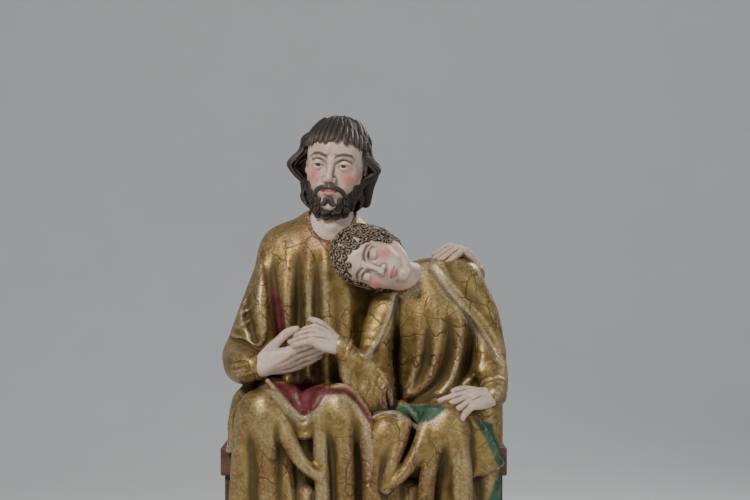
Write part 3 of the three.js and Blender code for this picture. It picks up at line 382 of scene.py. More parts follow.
def carved(name, clay, triangles):
    """The clay's skin as a smooth object of at most so many triangles."""
    places, faces = skin(clay)
    piece = mesh_object(name, places, faces)
    if 2 * len(faces) > triangles:
        applied(piece, "DECIMATE", ratio=triangles / (2 * len(faces)))
    piece.data.shade_smooth()
    piece.data.calc_loop_triangles()
    print(name, len(piece.data.loop_triangles), "triangles")
    return piece


def points_of(piece):
    places = np.empty(3 * len(piece.data.vertices), np.float32)
    piece.data.vertices.foreach_get("co", places)
    return places.reshape(-1, 3) / MM


def paint(piece, name, values):
    """Keeps one number for each point of the mesh, for its material to read."""
    attribute = piece.data.attributes.new(name, "FLOAT", "POINT")
    attribute.data.foreach_set("value", np.asarray(values, np.float32).ravel())


def exposure(clay, places, reach):
    """How much wood stands around each place: above nought on ridges, below it in hollows."""
    amount = (clay.field < 0).astype(np.float32)
    steps = max(1, round(reach / clay.cell))
    for axis in range(3):
        total = np.cumsum(np.pad(amount, [(steps + 1, steps) if n == axis else (0, 0) for n in range(3)]), axis)
        ahead = np.take(total, np.arange(2 * steps + 1, total.shape[axis]), axis)
        behind = np.take(total, np.arange(0, total.shape[axis] - 2 * steps - 1), axis)
        amount = (ahead - behind) / (2 * steps + 1)
    return 1 - 2 * sampled(amount, clay.low, clay.cell, places)


# %% [markdown]
# ## The two bodies
# Each figure starts from a few joints: where its head, shoulders, elbows, wrists, knees and ankles are.
# Everything that clothes it is worked out from them, so a shoulder that moves takes its sleeve with it.

# %% Joints of the two figures
MAN = dict(
    head=(-70, 26, 1285), turn=(8, 5, -8), height=232, neck=(-82, 66, 1128),
    chest=(-88, 74, 1010), waist=(-98, 72, 800),
    shoulder=(-196, 76, 1056), elbow=(-298, 34, 792), wrist=(-250, -114, 776),
    far_shoulder=(16, 104, 1034), far_elbow=(176, 134, 950), far_wrist=(276, 62, 1024),
    hip=(-205, 80, 652), knee=(-242, -130, 656), ankle=(-246, -138, 120),
    far_hip=(-70, 80, 652), far_knee=(-62, -130, 660), far_ankle=(-70, -138, 120),
)
YOUTH = dict(
    head=(18, -74, 1040), turn=(12, -74, 0), height=202, neck=(142, -4, 984),
    chest=(168, 0, 900), waist=(172, 40, 720),
    shoulder=(62, -30, 916), elbow=(44, -86, 742), wrist=(-56, -140, 828),
    far_shoulder=(240, 6, 986), far_elbow=(304, 0, 800), far_wrist=(322, -116, 706),
    hip=(110, 70, 620), knee=(62, -130, 604), ankle=(58, -136, 118),
    far_hip=(230, 70, 626), far_knee=(206, -130, 620), far_ankle=(212, -136, 118),
)
ROBE_CELL = 2.6
ROBE_TRIANGLES = 180000


def row(joint, radius):
    return [*joint, radius]


# %% [markdown]
# ## The bearded man's robe and mantle
# He wears a long robe, and over it a mantle that covers the upper arms, is laid across the lap with its
# crimson lining turned up, and falls in front of the shins. The body is a few rounded masses. Then come
# the folds: pleats down the breast, a deep slit beside the arm, a loop of cloth between the knees, and
# the long tongue that hangs from the near knee.

# %% The man's clothed body
def putter(clay):
    def put(rows, soft=24, flat=None):
        clay.add(limb(rows, flat=flat), soft)

    return put


def hang(clay, rows, soft=12):
    """A fold of cloth that hangs in the round, along [x, z, front, radius] rows: front is the y of its ridge."""
    clay.add(limb([[x, front + radius, z, radius] for x, z, front, radius in rows]), soft)


def man_body(clay):
    m = MAN
    put = putter(clay)
    clay.add(egg(m["chest"], [140, 112, 160]), 0)
    clay.add(egg(m["waist"], [150, 112, 170]), 60)
    collar = [[-140, 70, 1088, 54], row(m["neck"], 50), [-40, 84, 1076, 54]]
    put([row(m["shoulder"], 70), *collar, row(m["far_shoulder"], 56)], 40)
    put([row(m["far_shoulder"], 56), row(m["far_elbow"], 50), [262, 110, 972, 42]])
    put([[262, 110, 972, 42], [276, 84, 1000, 36]])
    put([row(m["shoulder"], 66), [-252, 62, 920, 62], row(m["elbow"], 60)], 30)
    put([[-206, 30, 1000, 52], [-236, 6, 900, 54], [-246, -16, 800, 46]], 30)
    put([row(m["elbow"], 60), [-300, -30, 778, 52], [-284, -82, 776, 40], [-262, -104, 776, 33]], 14)
    put([row(m["hip"], 96), [-232, -20, 646, 84], row(m["knee"], 58)])
    put([row(m["far_hip"], 96), [-66, -20, 650, 84], row(m["far_knee"], 58)])
    put([[-140, 70, 640, 90], [-150, -60, 620, 60]], 20)
    put([row(m["knee"], 54), [-250, -118, 560, 52], [-254, -114, 400, 58], row(m["ankle"], 70)], 30)
    put([row(m["far_knee"], 54), [-62, -118, 560, 50], [-64, -114, 400, 56], row(m["far_ankle"], 66)], 30)
    put([[-150, -78, 600, 50], [-152, -88, 360, 64], [-154, -90, 100, 74]], 30)
    put([[-6, -100, 620, 40], [0, -106, 400, 46], [-4, -104, 100, 60]], 30)
    # The mantle's end over the bench on his right, down to its corner.
    put([[-284, 0, 670, 52], [-296, -40, 630, 44], [-304, -64, 590, 30]], 20)
    put([[-292, -104, 640, 44], [-314, -96, 596, 22], [-334, -88, 568, 8]], 20, ((0, 1, 0), 3))
    put([[-292, -70, 560, 26], [-300, -84, 300, 34], [-304, -86, 100, 42]])


def cuff(clay, centre, along, radius, thick):
    """The rolled edge of a sleeve: a ring round the wrist."""
    turn = np.array(turn_from(along, (0.1, 0.2, 1)))
    ring = []
    for angle in np.linspace(0, 2 * math.pi, 17):
        place = np.array(centre) + turn @ np.array([0, math.cos(angle), math.sin(angle)]) * radius
        ring.append([*place, thick])
    clay.add(limb(ring, 2), 3)


def turn_from(forward, up):
    """A turn that puts x along forward and z as near to up as it can."""
    x = Vector(forward).normalized()
    z = Vector(up)
    z = (z - x * z.dot(x)).normalized()
    return Matrix((x, z.cross(x), z)).transposed()


# %% The man's folds
def pleats(clay, top, bottom, count, width, height):
    """Swells between a top line and a bottom line, each growing as it falls."""
    for t in np.linspace(0, 1, count):
        x0, z0 = np.array(top[0]) + t * (np.array(top[1]) - top[0])
        x1, z1 = np.array(bottom[0]) + t * (np.array(bottom[1]) - bottom[0])
        middle = [(x0 + x1) / 2, (z0 + z1) / 2, width, height]
        clay.swell([[x0, z0, width * 0.8, height * 0.2], middle, [x1, z1, width, height]])


def man_skirt(clay):
    """The folds that fall from his knees, and the tongue of cloth that hangs between them."""
    hang(clay, [[-270, 684, -140, 26], [-291, 640, -162, 24], [-298, 560, -174, 24], [-302, 460, -180, 26],
                [-308, 300, -186, 30], [-310, 80, -190, 36]], 26)
    hang(clay, [[-242, 684, -187, 34], [-237, 640, -195, 28], [-232, 560, -198, 24], [-230, 460, -199, 24],
                [-232, 300, -201, 28], [-236, 80, -204, 36]], 22)
    hang(clay, [[-198, 600, -158, 22], [-192, 520, -172, 22], [-186, 440, -182, 23], [-180, 300, -189, 26],
                [-178, 80, -196, 34]], 24)
    hang(clay, [[-216, 690, -170, 28], [-200, 650, -186, 24], [-181, 604, -198, 21], [-155, 560, -206, 18],
                [-127, 530, -206, 14], [-104, 516, -200, 9]], 14)
    hang(clay, [[-136, 470, -168, 18], [-136, 400, -178, 20], [-136, 80, -190, 30]], 22)
    hang(clay, [[-90, 700, -168, 28], [-101, 650, -184, 23], [-104, 590, -191, 19], [-101, 520, -194, 19],
                [-98, 460, -195, 19], [-98, 300, -198, 24], [-100, 80, -200, 32]], 18)
    hang(clay, [[-62, 688, -187, 34], [-52, 640, -196, 27], [-45, 580, -199, 22], [-42, 460, -200, 22],
                [-44, 300, -202, 26], [-46, 80, -204, 34]], 20)
    hang(clay, [[-24, 696, -160, 28], [-2, 650, -176, 24], [10, 600, -186, 20], [17, 500, -189, 19],
                [16, 300, -192, 24], [10, 80, -196, 30]], 20)


def man_lap(clay):
    """The mantle's crimson lining, laid back over the lap in a shallow heap, and the swag of the mantle's
    outside that hangs below its hem between the knees."""
    heap = [[-224, -82, 716, 32], [-188, -104, 696, 36], [-150, -116, 672, 36], [-112, -108, 694, 36]]
    clay.add(limb([*heap, [-60, -106, 694, 34], [-10, -114, 684, 28]]), 20)
    hang(clay, [[-206, 694, -160, 14], [-178, 656, -168, 15], [-148, 634, -168, 15], [-120, 654, -168, 15],
                [-102, 694, -166, 12]], 12)
    hang(clay, [[-186, 650, -166, 10], [-160, 618, -170, 10], [-138, 612, -170, 10], [-118, 630, -172, 9]], 12)
    # The lining's own folds run down into the pocket.
    clay.swell([[-206, 728, 10, 2], [-184, 700, 9, 7], [-160, 670, 7, 5]])
    clay.swell([[-170, 732, 9, 2], [-162, 704, 8, 7], [-150, 670, 6, 4]])
    clay.swell([[-104, 726, 10, 2], [-114, 698, 8, 7], [-134, 670, 6, 5]])
    clay.swell([[-192, 712, 7, -2], [-168, 684, 6, -5], [-152, 664, 5, -2]])
    # The hem of the lining, and the mantle's edge over the far knee.
    hang(clay, [[-236, 742, -128, 6], [-200, 708, -150, 7], [-172, 672, -162, 7], [-148, 654, -164, 7],
                [-124, 668, -162, 7], [-108, 698, -158, 7]], 7)
    hang(clay, [[-108, 698, -156, 8], [-86, 720, -156, 9], [-58, 730, -156, 9], [-34, 722, -156, 9],
                [-10, 702, -160, 9], [6, 672, -166, 9], [13, 636, -174, 8], [16, 560, -187, 7], [14, 496, -192, 6]], 7)


def man_folds(clay):
    # The breast.
    pleats(clay, ((-188, 1075), (-96, 1075)), ((-190, 736), (-92, 742)), 3, 18, 12)
    pleats(clay, ((-162, 1050), (-118, 1050)), ((-164, 750), (-118, 756)), 2, 13, -12)
    clay.swell([[-60, 1060, 16, 2], [-44, 970, 20, 9], [-40, 880, 20, 11], [-36, 770, 18, 8]])
    # The near sleeve: the slit that shows the lining, the mantle's edge round the elbow, and its creases.
    clay.swell([[-250, 1070, 14, 2], [-262, 1000, 17, 9], [-262, 930, 16, 10], [-254, 860, 14, 6]])
    clay.swell([[-230, 1040, 12, -3], [-224, 970, 13, -16], [-217, 890, 15, -26], [-206, 820, 15, -22]])
    clay.swell([[-296, 950, 11, -5], [-290, 895, 13, -12], [-268, 836, 11, -12]])
    clay.swell([[-312, 930, 10, 4], [-310, 885, 11, 9], [-290, 850, 9, 5]])
    sleeve = [(-380, 866), (-350, 854), (-326, 842), (-300, 838), (-262, 822), (-240, 860), (-250, 1000)]
    clay.layer([*sleeve, (-300, 1100), (-400, 1000)], 9)
    # Creases run round the forearm and gather at the cuff.
    for n in range(5):
        rise = 812 - 16 * n
        clay.swell([[-340 + 3 * n, rise - 2, 6, 1], [-320, rise, 6, 6], [-294, rise - 6 + 4 * n, 6, 7],
                    [-268, 792 - 7 * n, 4, 3]])
    clay.swell([[-352, 880, 7, 2], [-322, 872, 8, 8], [-292, 884, 8, 7], [-270, 912, 7, 3]])
    clay.swell([[-340, 910, 6, 2], [-312, 904, 7, 7], [-286, 918, 7, 5], [-268, 946, 6, 2]])


man_clay = Clay((-372, -244, 55), (330, 246, 1190), ROBE_CELL)
man_body(man_clay)
man_folds(man_clay)
man_skirt(man_clay)
man_lap(man_clay)
cuff(man_clay, (-244, -108, 778), (0.95, -0.2, 0.1), 27, 4)
cuff(man_clay, (-256, -104, 777), (0.95, -0.3, 0.1), 31, 4)
man_clay.cut(limb([[-92, -80, 1100, 18], [-88, -20, 1130, 42], [-82, 50, 1168, 60], [-76, 40, 1240, 64]]), 6)
man_robe = carved("man_robe", man_clay, ROBE_TRIANGLES)

# %% [markdown]
# ## The youth's robe and mantle
# His body leans towards the man. The robe falls from under his far arm in long folds that swing across
# to the near knee, and the mantle lies over both shoulders: its front edge crosses the far arm as a crisp
# step, and over the near arm it ends in a small zigzag of cloth.

# %% The youth's clothed body
def youth_body(clay):
    y = YOUTH
    put = putter(clay)
    clay.add(egg(y["chest"], [112, 92, 130]), 20)
    clay.add(egg(y["waist"], [134, 104, 150]), 60)
    collar = [[96, -20, 950, 44], row(y["neck"], 46), [196, 2, 988, 50]]
    put([row(y["shoulder"], 46), *collar, row(y["far_shoulder"], 52)], 40)
    put([row(y["far_shoulder"], 54), [288, 8, 900, 52], row(y["far_elbow"], 54)])
    put([row(y["far_elbow"], 50), [322, -58, 750, 38], row(y["far_wrist"], 30)], 12)
    # The near arm: a teardrop of mantle over the upper arm, and a sleeve that hangs from the forearm.
    put([row(y["shoulder"], 44), [38, -62, 860, 42], [14, -84, 806, 22]], 14)
    put([[40, -50, 840, 36], [20, -90, 770, 44], [10, -104, 740, 40]], 12)
    put([[10, -100, 770, 44], [-24, -124, 790, 32], row(y["wrist"], 26)], 14)
    put([[-36, -132, 800, 24], [-40, -134, 760, 20], [-34, -130, 738, 12]], 10)
    put([[0, -108, 770, 40], [6, -108, 710, 42], [14, -100, 672, 38]], 14)
    put([[36, -84, 760, 36], [44, -84, 690, 36]], 14)
    put([row(y["hip"], 88), [84, -20, 598, 76], row(y["knee"], 48)])
    put([row(y["far_hip"], 88), [216, -20, 606, 80], row(y["far_knee"], 56)])
    put([[160, 60, 610, 84], [134, -70, 580, 50]], 20)
    put([row(y["knee"], 46), [62, -116, 510, 48], [62, -114, 400, 54], row(y["ankle"], 62)], 30)
    put([row(y["far_knee"], 52), [212, -116, 520, 52], [220, -114, 400, 62], row(y["far_ankle"], 74)], 30)
    put([[136, -80, 560, 50], [134, -86, 340, 64], [134, -90, 100, 74]], 30)
    # The mantle's end over the bench on his left, with its corner in front.
    put([[290, 10, 690, 62], [304, -20, 600, 46], [304, -64, 500, 38], [296, -80, 300, 38], [298, -84, 100, 46]], 30)
    put([[236, -132, 600, 70], [276, -126, 562, 54], [314, -116, 544, 26], [340, -108, 538, 8]], 16, ((0, 1, 0), 3))


def youth_skirt(clay):
    hang(clay, [[46, 636, -166, 24], [30, 600, -182, 21], [26, 540, -188, 20], [28, 460, -191, 20],
                [32, 300, -194, 24], [34, 80, -196, 30]], 20)
    hang(clay, [[62, 626, -180, 32], [66, 570, -186, 22], [70, 460, -182, 20], [78, 300, -190, 24],
                [80, 80, -196, 30]], 22)
    hang(clay, [[96, 640, -176, 22], [91, 606, -188, 18], [80, 575, -196, 16], [64, 530, -203, 14],
                [48, 488, -203, 9]], 10)
    hang(clay, [[172, 660, -174, 26], [154, 632, -187, 23], [135, 584, -200, 20], [101, 530, -208, 16],
                [56, 484, -206, 8]], 12)
    hang(clay, [[118, 480, -172, 20], [114, 400, -180, 22], [112, 80, -192, 30]], 22)
    hang(clay, [[198, 652, -184, 32], [178, 608, -195, 23], [164, 560, -199, 21], [150, 460, -200, 21],
                [150, 300, -202, 26], [154, 80, -204, 34]], 18)
    hang(clay, [[212, 650, -182, 34], [226, 600, -191, 27], [236, 540, -195, 27], [238, 460, -195, 28],
                [246, 300, -198, 32], [252, 80, -200, 38]], 18)


def youth_lap(clay):
    """His mantle's hem on the lap, with the green lining laid back above it."""
    put = putter(clay)
    put([[60, -80, 672, 22], [130, -96, 660, 24], [196, -84, 676, 22]], 12)
    hang(clay, [[92, 684, -104, 9], [120, 664, -128, 10], [136, 642, -134, 7]], 6)
    hang(clay, [[176, 688, -104, 9], [156, 664, -128, 10], [142, 642, -134, 7]], 6)
    hang(clay, [[18, 652, -158, 5], [50, 666, -164, 5], [84, 666, -160, 6], [108, 646, -154, 6],
                [134, 630, -150, 7], [158, 646, -156, 6], [178, 664, -164, 5], [206, 678, -170, 5]], 4)


# %% The youth's folds
def youth_folds(clay):
    # The breast: long folds that swing from under the far shoulder to the near knee.
    clay.swell([[232, 930, 14, 2], [245, 850, 18, 12], [218, 740, 18, 18], [142, 672, 15, 12]])
    clay.swell([[184, 920, 14, 2], [184, 830, 17, 11], [156, 735, 17, 15], [92, 680, 13, 10]])
    clay.swell([[140, 900, 12, 2], [134, 800, 16, 11], [106, 705, 13, 9]])
    clay.swell([[212, 890, 11, -4], [214, 815, 14, -12], [186, 736, 14, -15], [120, 688, 11, -8]])
    clay.swell([[158, 860, 10, -4], [154, 780, 12, -10], [128, 715, 11, -8]])
    clay.swell([[296, 800, 10, 4], [264, 746, 14, 13], [206, 690, 12, 12]])
    clay.swell([[270, 860, 12, -8], [264, 790, 14, -18], [240, 725, 12, -13]])
    clay.swell([[86, 940, 9, -6], [80, 860, 9, -13], [80, 760, 9, -14], [82, 690, 9, -10]])
    # The mantle over the far arm, down to its front edge, and the part of it over the near one.
    edge = [(164, 1020), (202, 967), (242, 922), (270, 890), (294, 858), (350, 776)]
    clay.layer([*edge, (400, 800), (380, 1100), (200, 1100)], 9)
    clay.swell([[x + 15, z + 15, 12, 7] for x, z in edge])
    drop = [(76, 955), (66, 910), (50, 868), (30, 830), (6, 798), (-6, 806)]
    clay.layer([*drop, (-24, 850), (-10, 920), (20, 960)], 7)
    clay.seam([[x, z, 4.5, 2.5] for x, z in drop[:-1]], 5)


def youth_cuff(clay):
    """The zigzag of cloth at the near elbow, and the pleats that hang from the forearm."""
    hang(clay, [[2, 792, -134, 6], [22, 778, -140, 8], [48, 754, -142, 9]], 5)
    hang(clay, [[48, 754, -142, 9], [34, 738, -142, 8], [10, 750, -140, 6]], 5)
    for n in range(5):
        top, foot = -44 + 16 * n, -40 + 19 * n
        hang(clay, [[top, 792 - 8 * n, -150 + 3 * n, 8], [top + 3, 756 - 8 * n, -156 + 4 * n, 9],
                    [foot, 730 - 14 * n, -148 + 4 * n, 7]], 8)
    for n in range(4):
        x = -2 + 16 * n
        hang(clay, [[x + 10, 752 - 5 * n, -148 + 2 * n, 7], [x, 714, -156 + 3 * n, 9], [x - 2, 676, -146 + 4 * n, 8]], 6)
    # The crook of the arm: creases that run from the zigzag round to the breast.
    hang(clay, [[50, 742, -140, 8], [62, 716, -134, 9], [66, 684, -124, 8]], 7)
    hang(clay, [[30, 726, -146, 7], [46, 704, -144, 8], [52, 676, -138, 7]], 6)


youth_clay = Clay((-100, -244, 55), (372, 200, 1060), ROBE_CELL)
youth_body(youth_clay)
youth_folds(youth_clay)
youth_skirt(youth_clay)
youth_lap(youth_clay)
youth_cuff(youth_clay)
cuff(youth_clay, (-52, -138, 826), (-0.85, -0.12, 0.4), 23, 4)
cuff(youth_clay, (-42, -136, 818), (-0.85, -0.12, 0.4), 26, 4)
cuff(youth_clay, (321, -104, 716), (0.05, -0.8, -0.6), 27, 4)
cuff(youth_clay, (320, -94, 726), (0.05, -0.8, -0.6), 30, 4)
youth_robe = carved("youth_robe", youth_clay, ROBE_TRIANGLES)

# %% [markdown]
# ## Heads
# A head is set out in a frame of its own: x towards its left ear, -y out of the face, z up to the crown,
# with the eyes at z = 0 and 200 units from chin to crown. The faces are plain, calm ones from the drawing
# book: eyes half way up, the nose a third of the way from brow to chin, the mouth a third below that.

# %% A frame of its own for heads, hands and feet
class Local:
    """Adds rods and eggs to a clay in a turned and scaled frame."""

    def __init__(self, clay, origin, turn, unit=1.0):
        self.clay, self.origin, self.turn, self.unit = clay, np.array(origin, float), np.array(turn), unit

    def world(self, rows):
        rows = np.array(rows, float)
        out = rows * self.unit
        out[..., :3] = out[..., :3] @ self.turn.T + self.origin
        return out

    def rod(self, rows, soft=4.0, steps=4, cut=False):
        self.clay.work(limb(self.world(rows), steps), soft * self.unit, cut)

    def mass(self, place, half, soft=6.0, cut=False):
        shape = egg(self.world([place])[0], np.array(half) * self.unit, self.turn)
        self.clay.work(shape, soft * self.unit, cut)

    def places(self, piece):
        """The points of a piece as this frame sees them."""
        return (points_of(piece) - self.origin) @ self.turn / self.unit


def head_frame(clay, figure):
    turn = Euler([math.radians(angle) for angle in figure["turn"]], "YXZ").to_matrix()
    return Local(clay, figure["head"], turn, figure["height"] / 200)


def box_clay(centre, half, cell):
    centre, half = np.array(centre), np.array(half)
    return Clay(centre - half, centre + half, cell)


# %% The face
EYE = (28, -64, 0)
BALL = 13.5


def lid(head, side, height, drop, radius, lift=1.0):
    """An eyelid's edge: a thin rod bent over the eyeball. height is its middle, drop its corners."""
    rows = []
    for across in np.linspace(-1, 1, 7):
        x = across * 13.2
        z = drop + (height - drop) * (1 - across * across)
        depth = math.sqrt(max((BALL + lift) ** 2 - x * x - z * z, 1))
        rows.append([side * (EYE[0] + x), EYE[1] - depth, EYE[2] + z, radius * (1.1 - 0.35 * abs(across))])
    head.rod(rows, 1.2)


def face(head, asleep):
    head.mass([0, 16, 22], [66, 82, 72], 0)
    head.mass([0, -14, 38], [52, 51, 38], 20)
    head.mass([0, -16, -14], [54, 63, 76], 24)
    head.rod([[-44, -4, -44, 17], [-28, -42, -74, 14], [0, -57, -84, 13], [28, -42, -74, 14], [44, -4, -44, 17]], 20)
    for side in (-1, 1):
        head.mass([side * 28, -92, 1], [19, 17, 11], 9, cut=True)
        head.mass([side * EYE[0], EYE[1], EYE[2]], [BALL] * 3, 2)
        head.rod([[side * 9, -79, 15, 4], [side * 27, -77, 21, 4.4], [side * 45, -62, 16, 4]], 9)
        head.mass([side * 35, -53, -21], [19, 17, 17], 18)
        head.mass([side * 25, -58, -44], [15, 14, 16], 16)
        head.rod([[side * 65, 2, 14, 3], [side * 70, 14, 19, 3.4], [side * 73, 24, 6, 3.4],
                  [side * 71, 18, -12, 3.2], [side * 66, 6, -20, 4.2]], 3)
        head.mass([side * 65, 8, -2], [5, 10, 17], 4)
        head.mass([side * 65, 3, -22], [4, 6, 7], 3)
    head.rod([[0, -75, 17, 6], [0, -84, -3, 6], [0, -94, -23, 7]], 9)
    head.mass([0, -93, -27], [7.5, 8, 7], 5)
    for side in (-1, 1):
        head.mass([side * 9.5, -84, -30], [5.6, 8, 6], 4)
        head.mass([side * 4.8, -90, -37.5], [2.6, 4.6, 3.6], 2, cut=True)
    head.mass([0, -64, -54], [25, 18, 19], 13)
    head.rod([[0, -86, -41, 1.6], [0, -85, -47, 2.4]], 3, cut=True)
    upper = [[-19, -70, -54.5, 1.4], [-9, -79.5, -51.5, 3.2], [0, -82.5, -52.5, 3.0], [9, -79.5, -51.5, 3.2]]
    head.rod([*upper, [19, -70, -54.5, 1.4]], 2.4)
    head.rod([[-16, -73, -57.5, 1.6], [-7, -80, -60, 4.2], [7, -80, -60, 4.2], [16, -73, -57.5, 1.6]], 2.4)
    head.rod([[-20, -73, -55, 0.8], [-9, -83.5, -55, 1.1], [0, -86, -56, 1.1], [9, -83.5, -55, 1.1],
              [20, -73, -55, 0.8]], 1.4, cut=True)
    head.rod([[-10, -84, -69, 3], [0, -86, -69.5, 4], [10, -84, -69, 3]], 6, cut=True)
    head.mass([0, -69, -85], [16, 13, 13], 11)
    for side in (-1, 1):
        if asleep:
            head.mass([side * EYE[0], EYE[1], EYE[2]], [BALL + 1.4] * 3, 1)
            lid(head, side, 8.5, 3, 1.6, 1.2)
            lid(head, side, -5.5, -1, 1.5, 1.6)
            lid(head, side, -8.5, -3, 1.6, 0.8)
        else:
            for height, drop, lift in ((6.4, -1, 1.0), (8.8, 1, 1.2), (11, 3.4, 1.4)):
                lid(head, side, height, drop, 1.9, lift)
            for height, drop, lift in ((-5.4, -1.5, 0.6), (-8, -4, 0.7)):
                lid(head, side, height, drop, 1.7, lift)


# %% [markdown]
# ## Hair
# Hair is carved in locks. A lock is a spine with a half-width, and its strands lie side by side across
# it, so that the gouge's V-shaped grooves appear between them. The cap is an egg, and a place on it is
# given by its turn round the crown and its height above the hairline.

# %% Locks, caps and curls
CAP_CENTRE = np.array([0, 18, 20])
CAP_HALF = np.array([69, 91, 82])
CROWN_TILT = math.radians(25)


def on_cap(turn, up, lift=0.0):
    x, y, z = math.sin(turn) * math.cos(up), -math.cos(turn) * math.cos(up), math.sin(up)
    back, tip = math.cos(CROWN_TILT), math.sin(CROWN_TILT)
    return CAP_CENTRE + (CAP_HALF + lift) * np.array([x, y * back + z * tip, z * back - y * tip])


def lock(head, rows, strands=4, steps=6, twist=0.0):
    """A lock along a spine of [x, y, z, half-width] rows."""
    path = smooth_path(rows, steps)
    spine, half = path[:, :3], path[:, 3:]
    core = np.column_stack([0 * spine[:, 0], 0 * spine[:, 0] + 18, np.clip(spine[:, 2], -60, 20)])
    out = spine - core
    out /= np.linalg.norm(out, axis=1, keepdims=True)
    across = np.cross(np.gradient(spine, axis=0), out)
    across /= np.maximum(np.linalg.norm(across, axis=1, keepdims=True), 1e-6)
    for share in np.linspace(-1, 1, strands):
        sway = share + twist * np.sin(np.linspace(0, 5, len(path)) + 3 * share)[:, None]
        strand = spine + across * half * sway + out * half * 0.5 * (1 - share * share)
        radius = half * 1.25 / strands + 0.7
        head.rod(np.hstack([strand, radius]), 0.8, steps=1)


def crown_strands(head, count, rng):
    for n in range(count):
        turn = 2 * math.pi * (n + 0.3 * rng.random()) / count
        start = 1.4 if n % 3 == 0 else 1.05 - 0.2 * (n % 3)
        phase = 6 * rng.random()
        rows = []
        for up in np.linspace(start, 0.16, 7):
            sway = 0.04 * math.sin(7 * up + phase) / max(math.cos(up), 0.25)
            radius = 2.5 * min(1, 0.35 + math.cos(up))
            rows.append([*on_cap(turn + sway, up, 1.2 * math.sin(5 * up + phase) - 1), radius])
        head.rod(rows, 0.8, steps=3)


def side_lock(side, n):
    """One of the rolled locks beside the face: it leaves the cap at the temple, swings out past the ear, comes
    back to the jaw and swings out again. The first locks are in front and short, the last behind the neck."""
    foot = (-64, -96, -84, -112, -122, -134)[n]
    phase = 1.7 * n + side
    rows = [[*on_cap(side * (0.92 + 0.24 * n), up, 1), 5.5 + 3 * (0.9 - up)] for up in (0.9, 0.6, 0.34)]
    top = rows[-1][2]
    for share in np.linspace(0.14, 1, 9):
        z = top + (foot - top) * share
        base, roll, flick = (69, 34, 15) if side < 0 else (61, 29, 12)
        out = base + roll * math.exp(-(((z + 8) / 24) ** 2)) + flick * math.exp(-(((z + 84) / 20) ** 2))
        out -= (0, 6, 17, 9, 14, 22)[n] + 9 * max(0, share - 0.8) / 0.2
        x = side * (out + 3.5 * math.sin(11 * share + phase))
        y = -17 + 13 * n + 10 * share + 6 * math.sin(10 * share + phase)
        rows.append([x, y, z, 10.5 - 1.5 * abs(math.sin(9 * share + phase)) - 7.5 * max(0, share - 0.78) / 0.22])
    return rows


def comma(place, across, down, size):
    """A short lock that hooks at its end: rows from a place, along down, turned in along across."""
    hook = ((0, 0, 0.62), (0.5, 0.06, 0.7), (0.95, 0.3, 0.62), (1.12, 0.75, 0.4), (0.86, 0.98, 0.12))
    return [[*(place + size * (along * down + aside * across)), size * wide * 0.55] for along, aside, wide in hook]


def wavy_hair(head, rng):
    head.mass(CAP_CENTRE + [0, 12, -2], CAP_HALF - [2, 13, 2], 0)
    head.mass(CAP_CENTRE + [0, 0, 24], CAP_HALF - [4, 9, 25], 6)
    head.mass([0, 50, -30], [60, 42, 76], 20)
    crown_strands(head, 104, rng)
    for side in (-1, 1):
        core = [[58, 18, 36, 12], [66, 24, 8, 15], [76, 26, -14, 17], [68, 28, -48, 16], [66, 30, -86, 12]]
        head.rod([[side * x, y, z, radius] for x, y, z, radius in core], 10)
        for n in reversed(range(6)):
            lock(head, side_lock(side, n), 5, twist=0.12)
        lock(head, [[side * x, y, z, half] for x, y, z, half in (
            (16, 88, 6, 12), (24, 84, -50, 12), (20, 74, -100, 12), (16, 64, -138, 5))], 5)
    for n in range(13):
        turn = (n - 6) * 0.168
        hook = -1 if n < 8 else 1
        deep = 0.03 * (n % 3) - 0.03
        rows = [[0, 0.56, -3, 3.5], [0.01, 0.34, 0.5, 4.6], [0.01, 0.16, 4, 4.8], [0.03, 0.02 - deep, 6, 4],
                [0.08, -0.05 - deep, 6, 2.6], [0.12, -0.01 - deep, 5, 1]]
        lock(head, [[*on_cap(turn + hook * sway, up, lift), half] for sway, up, lift, half in rows], 4)


def beard(head):
    """A base along the jaw, and rows of comma locks over it that hook this way and that."""
    jaw = [[-58, -6, -36, 7], [-53, -20, -60, 9], [-33, -44, -82, 10], [0, -62, -90, 11], [33, -44, -82, 10]]
    head.rod([*jaw, [53, -20, -60, 9], [58, -6, -36, 7]], 10)
    for layer, (top, reach, forward) in enumerate(((-42, 55, 50), (-54, 54, 56), (-66, 52, 60), (-79, 46, 60), (-91, 38, 52))):
        count = 17 - 2 * layer
        for n in range(count):
            turn = (n / (count - 1) - 0.5) * (2.7 - 0.1 * layer)
            if abs(turn) < (0.95, 0.62, 0.3, 0, 0)[layer]:
                continue
            side = 1 if (n + layer) % 2 else -1
            place = np.array([math.sin(turn) * reach, -10 - math.cos(turn) * forward, top - 6 * math.cos(turn) ** 2])
            across = side * np.array([math.cos(turn), math.sin(turn) * 0.8, 0.15])
            lock(head, comma(place, across, np.array([0, -0.12, -1]), 13.5 + 2 * (layer > 2)), 3)
    half = ((2, -87, -44, 2.4), (13, -85, -46, 3.6), (25, -75, -52, 3.6), (33, -65, -63, 3), (38, -56, -74, 1.2))
    for side in (-1, 1):
        lock(head, [[side * x, y, z, wide] for x, y, z, wide in half], 4)
        lock(head, comma(np.array([side * 5, -80, -70]), np.array([side, 0, 0.1]), np.array([0, -0.1, -1]), 12), 3)


def snail(head, centre, out, start, hand, size, turns):
    """One snail curl: a rod that winds inwards on the head's skin, and rises to its middle."""
    out = out / np.linalg.norm(out)
    side = np.cross(out, [0.2, 0.1, 1])
    side /= np.linalg.norm(side)
    up = np.cross(out, side)
    rows = []
    for n, share in enumerate(np.linspace(0, 1, 11)):
        turn = start + hand * share * turns
        reach = size * (1 - 0.78 * share)
        place = centre + out * (4.2 * share - 1.6) + reach * (side * math.cos(turn) + up * math.sin(turn))
        rows.append([*place, 2.3 - 0.5 * share if n else 1.2])
    head.rod(rows, 0.5, steps=2)


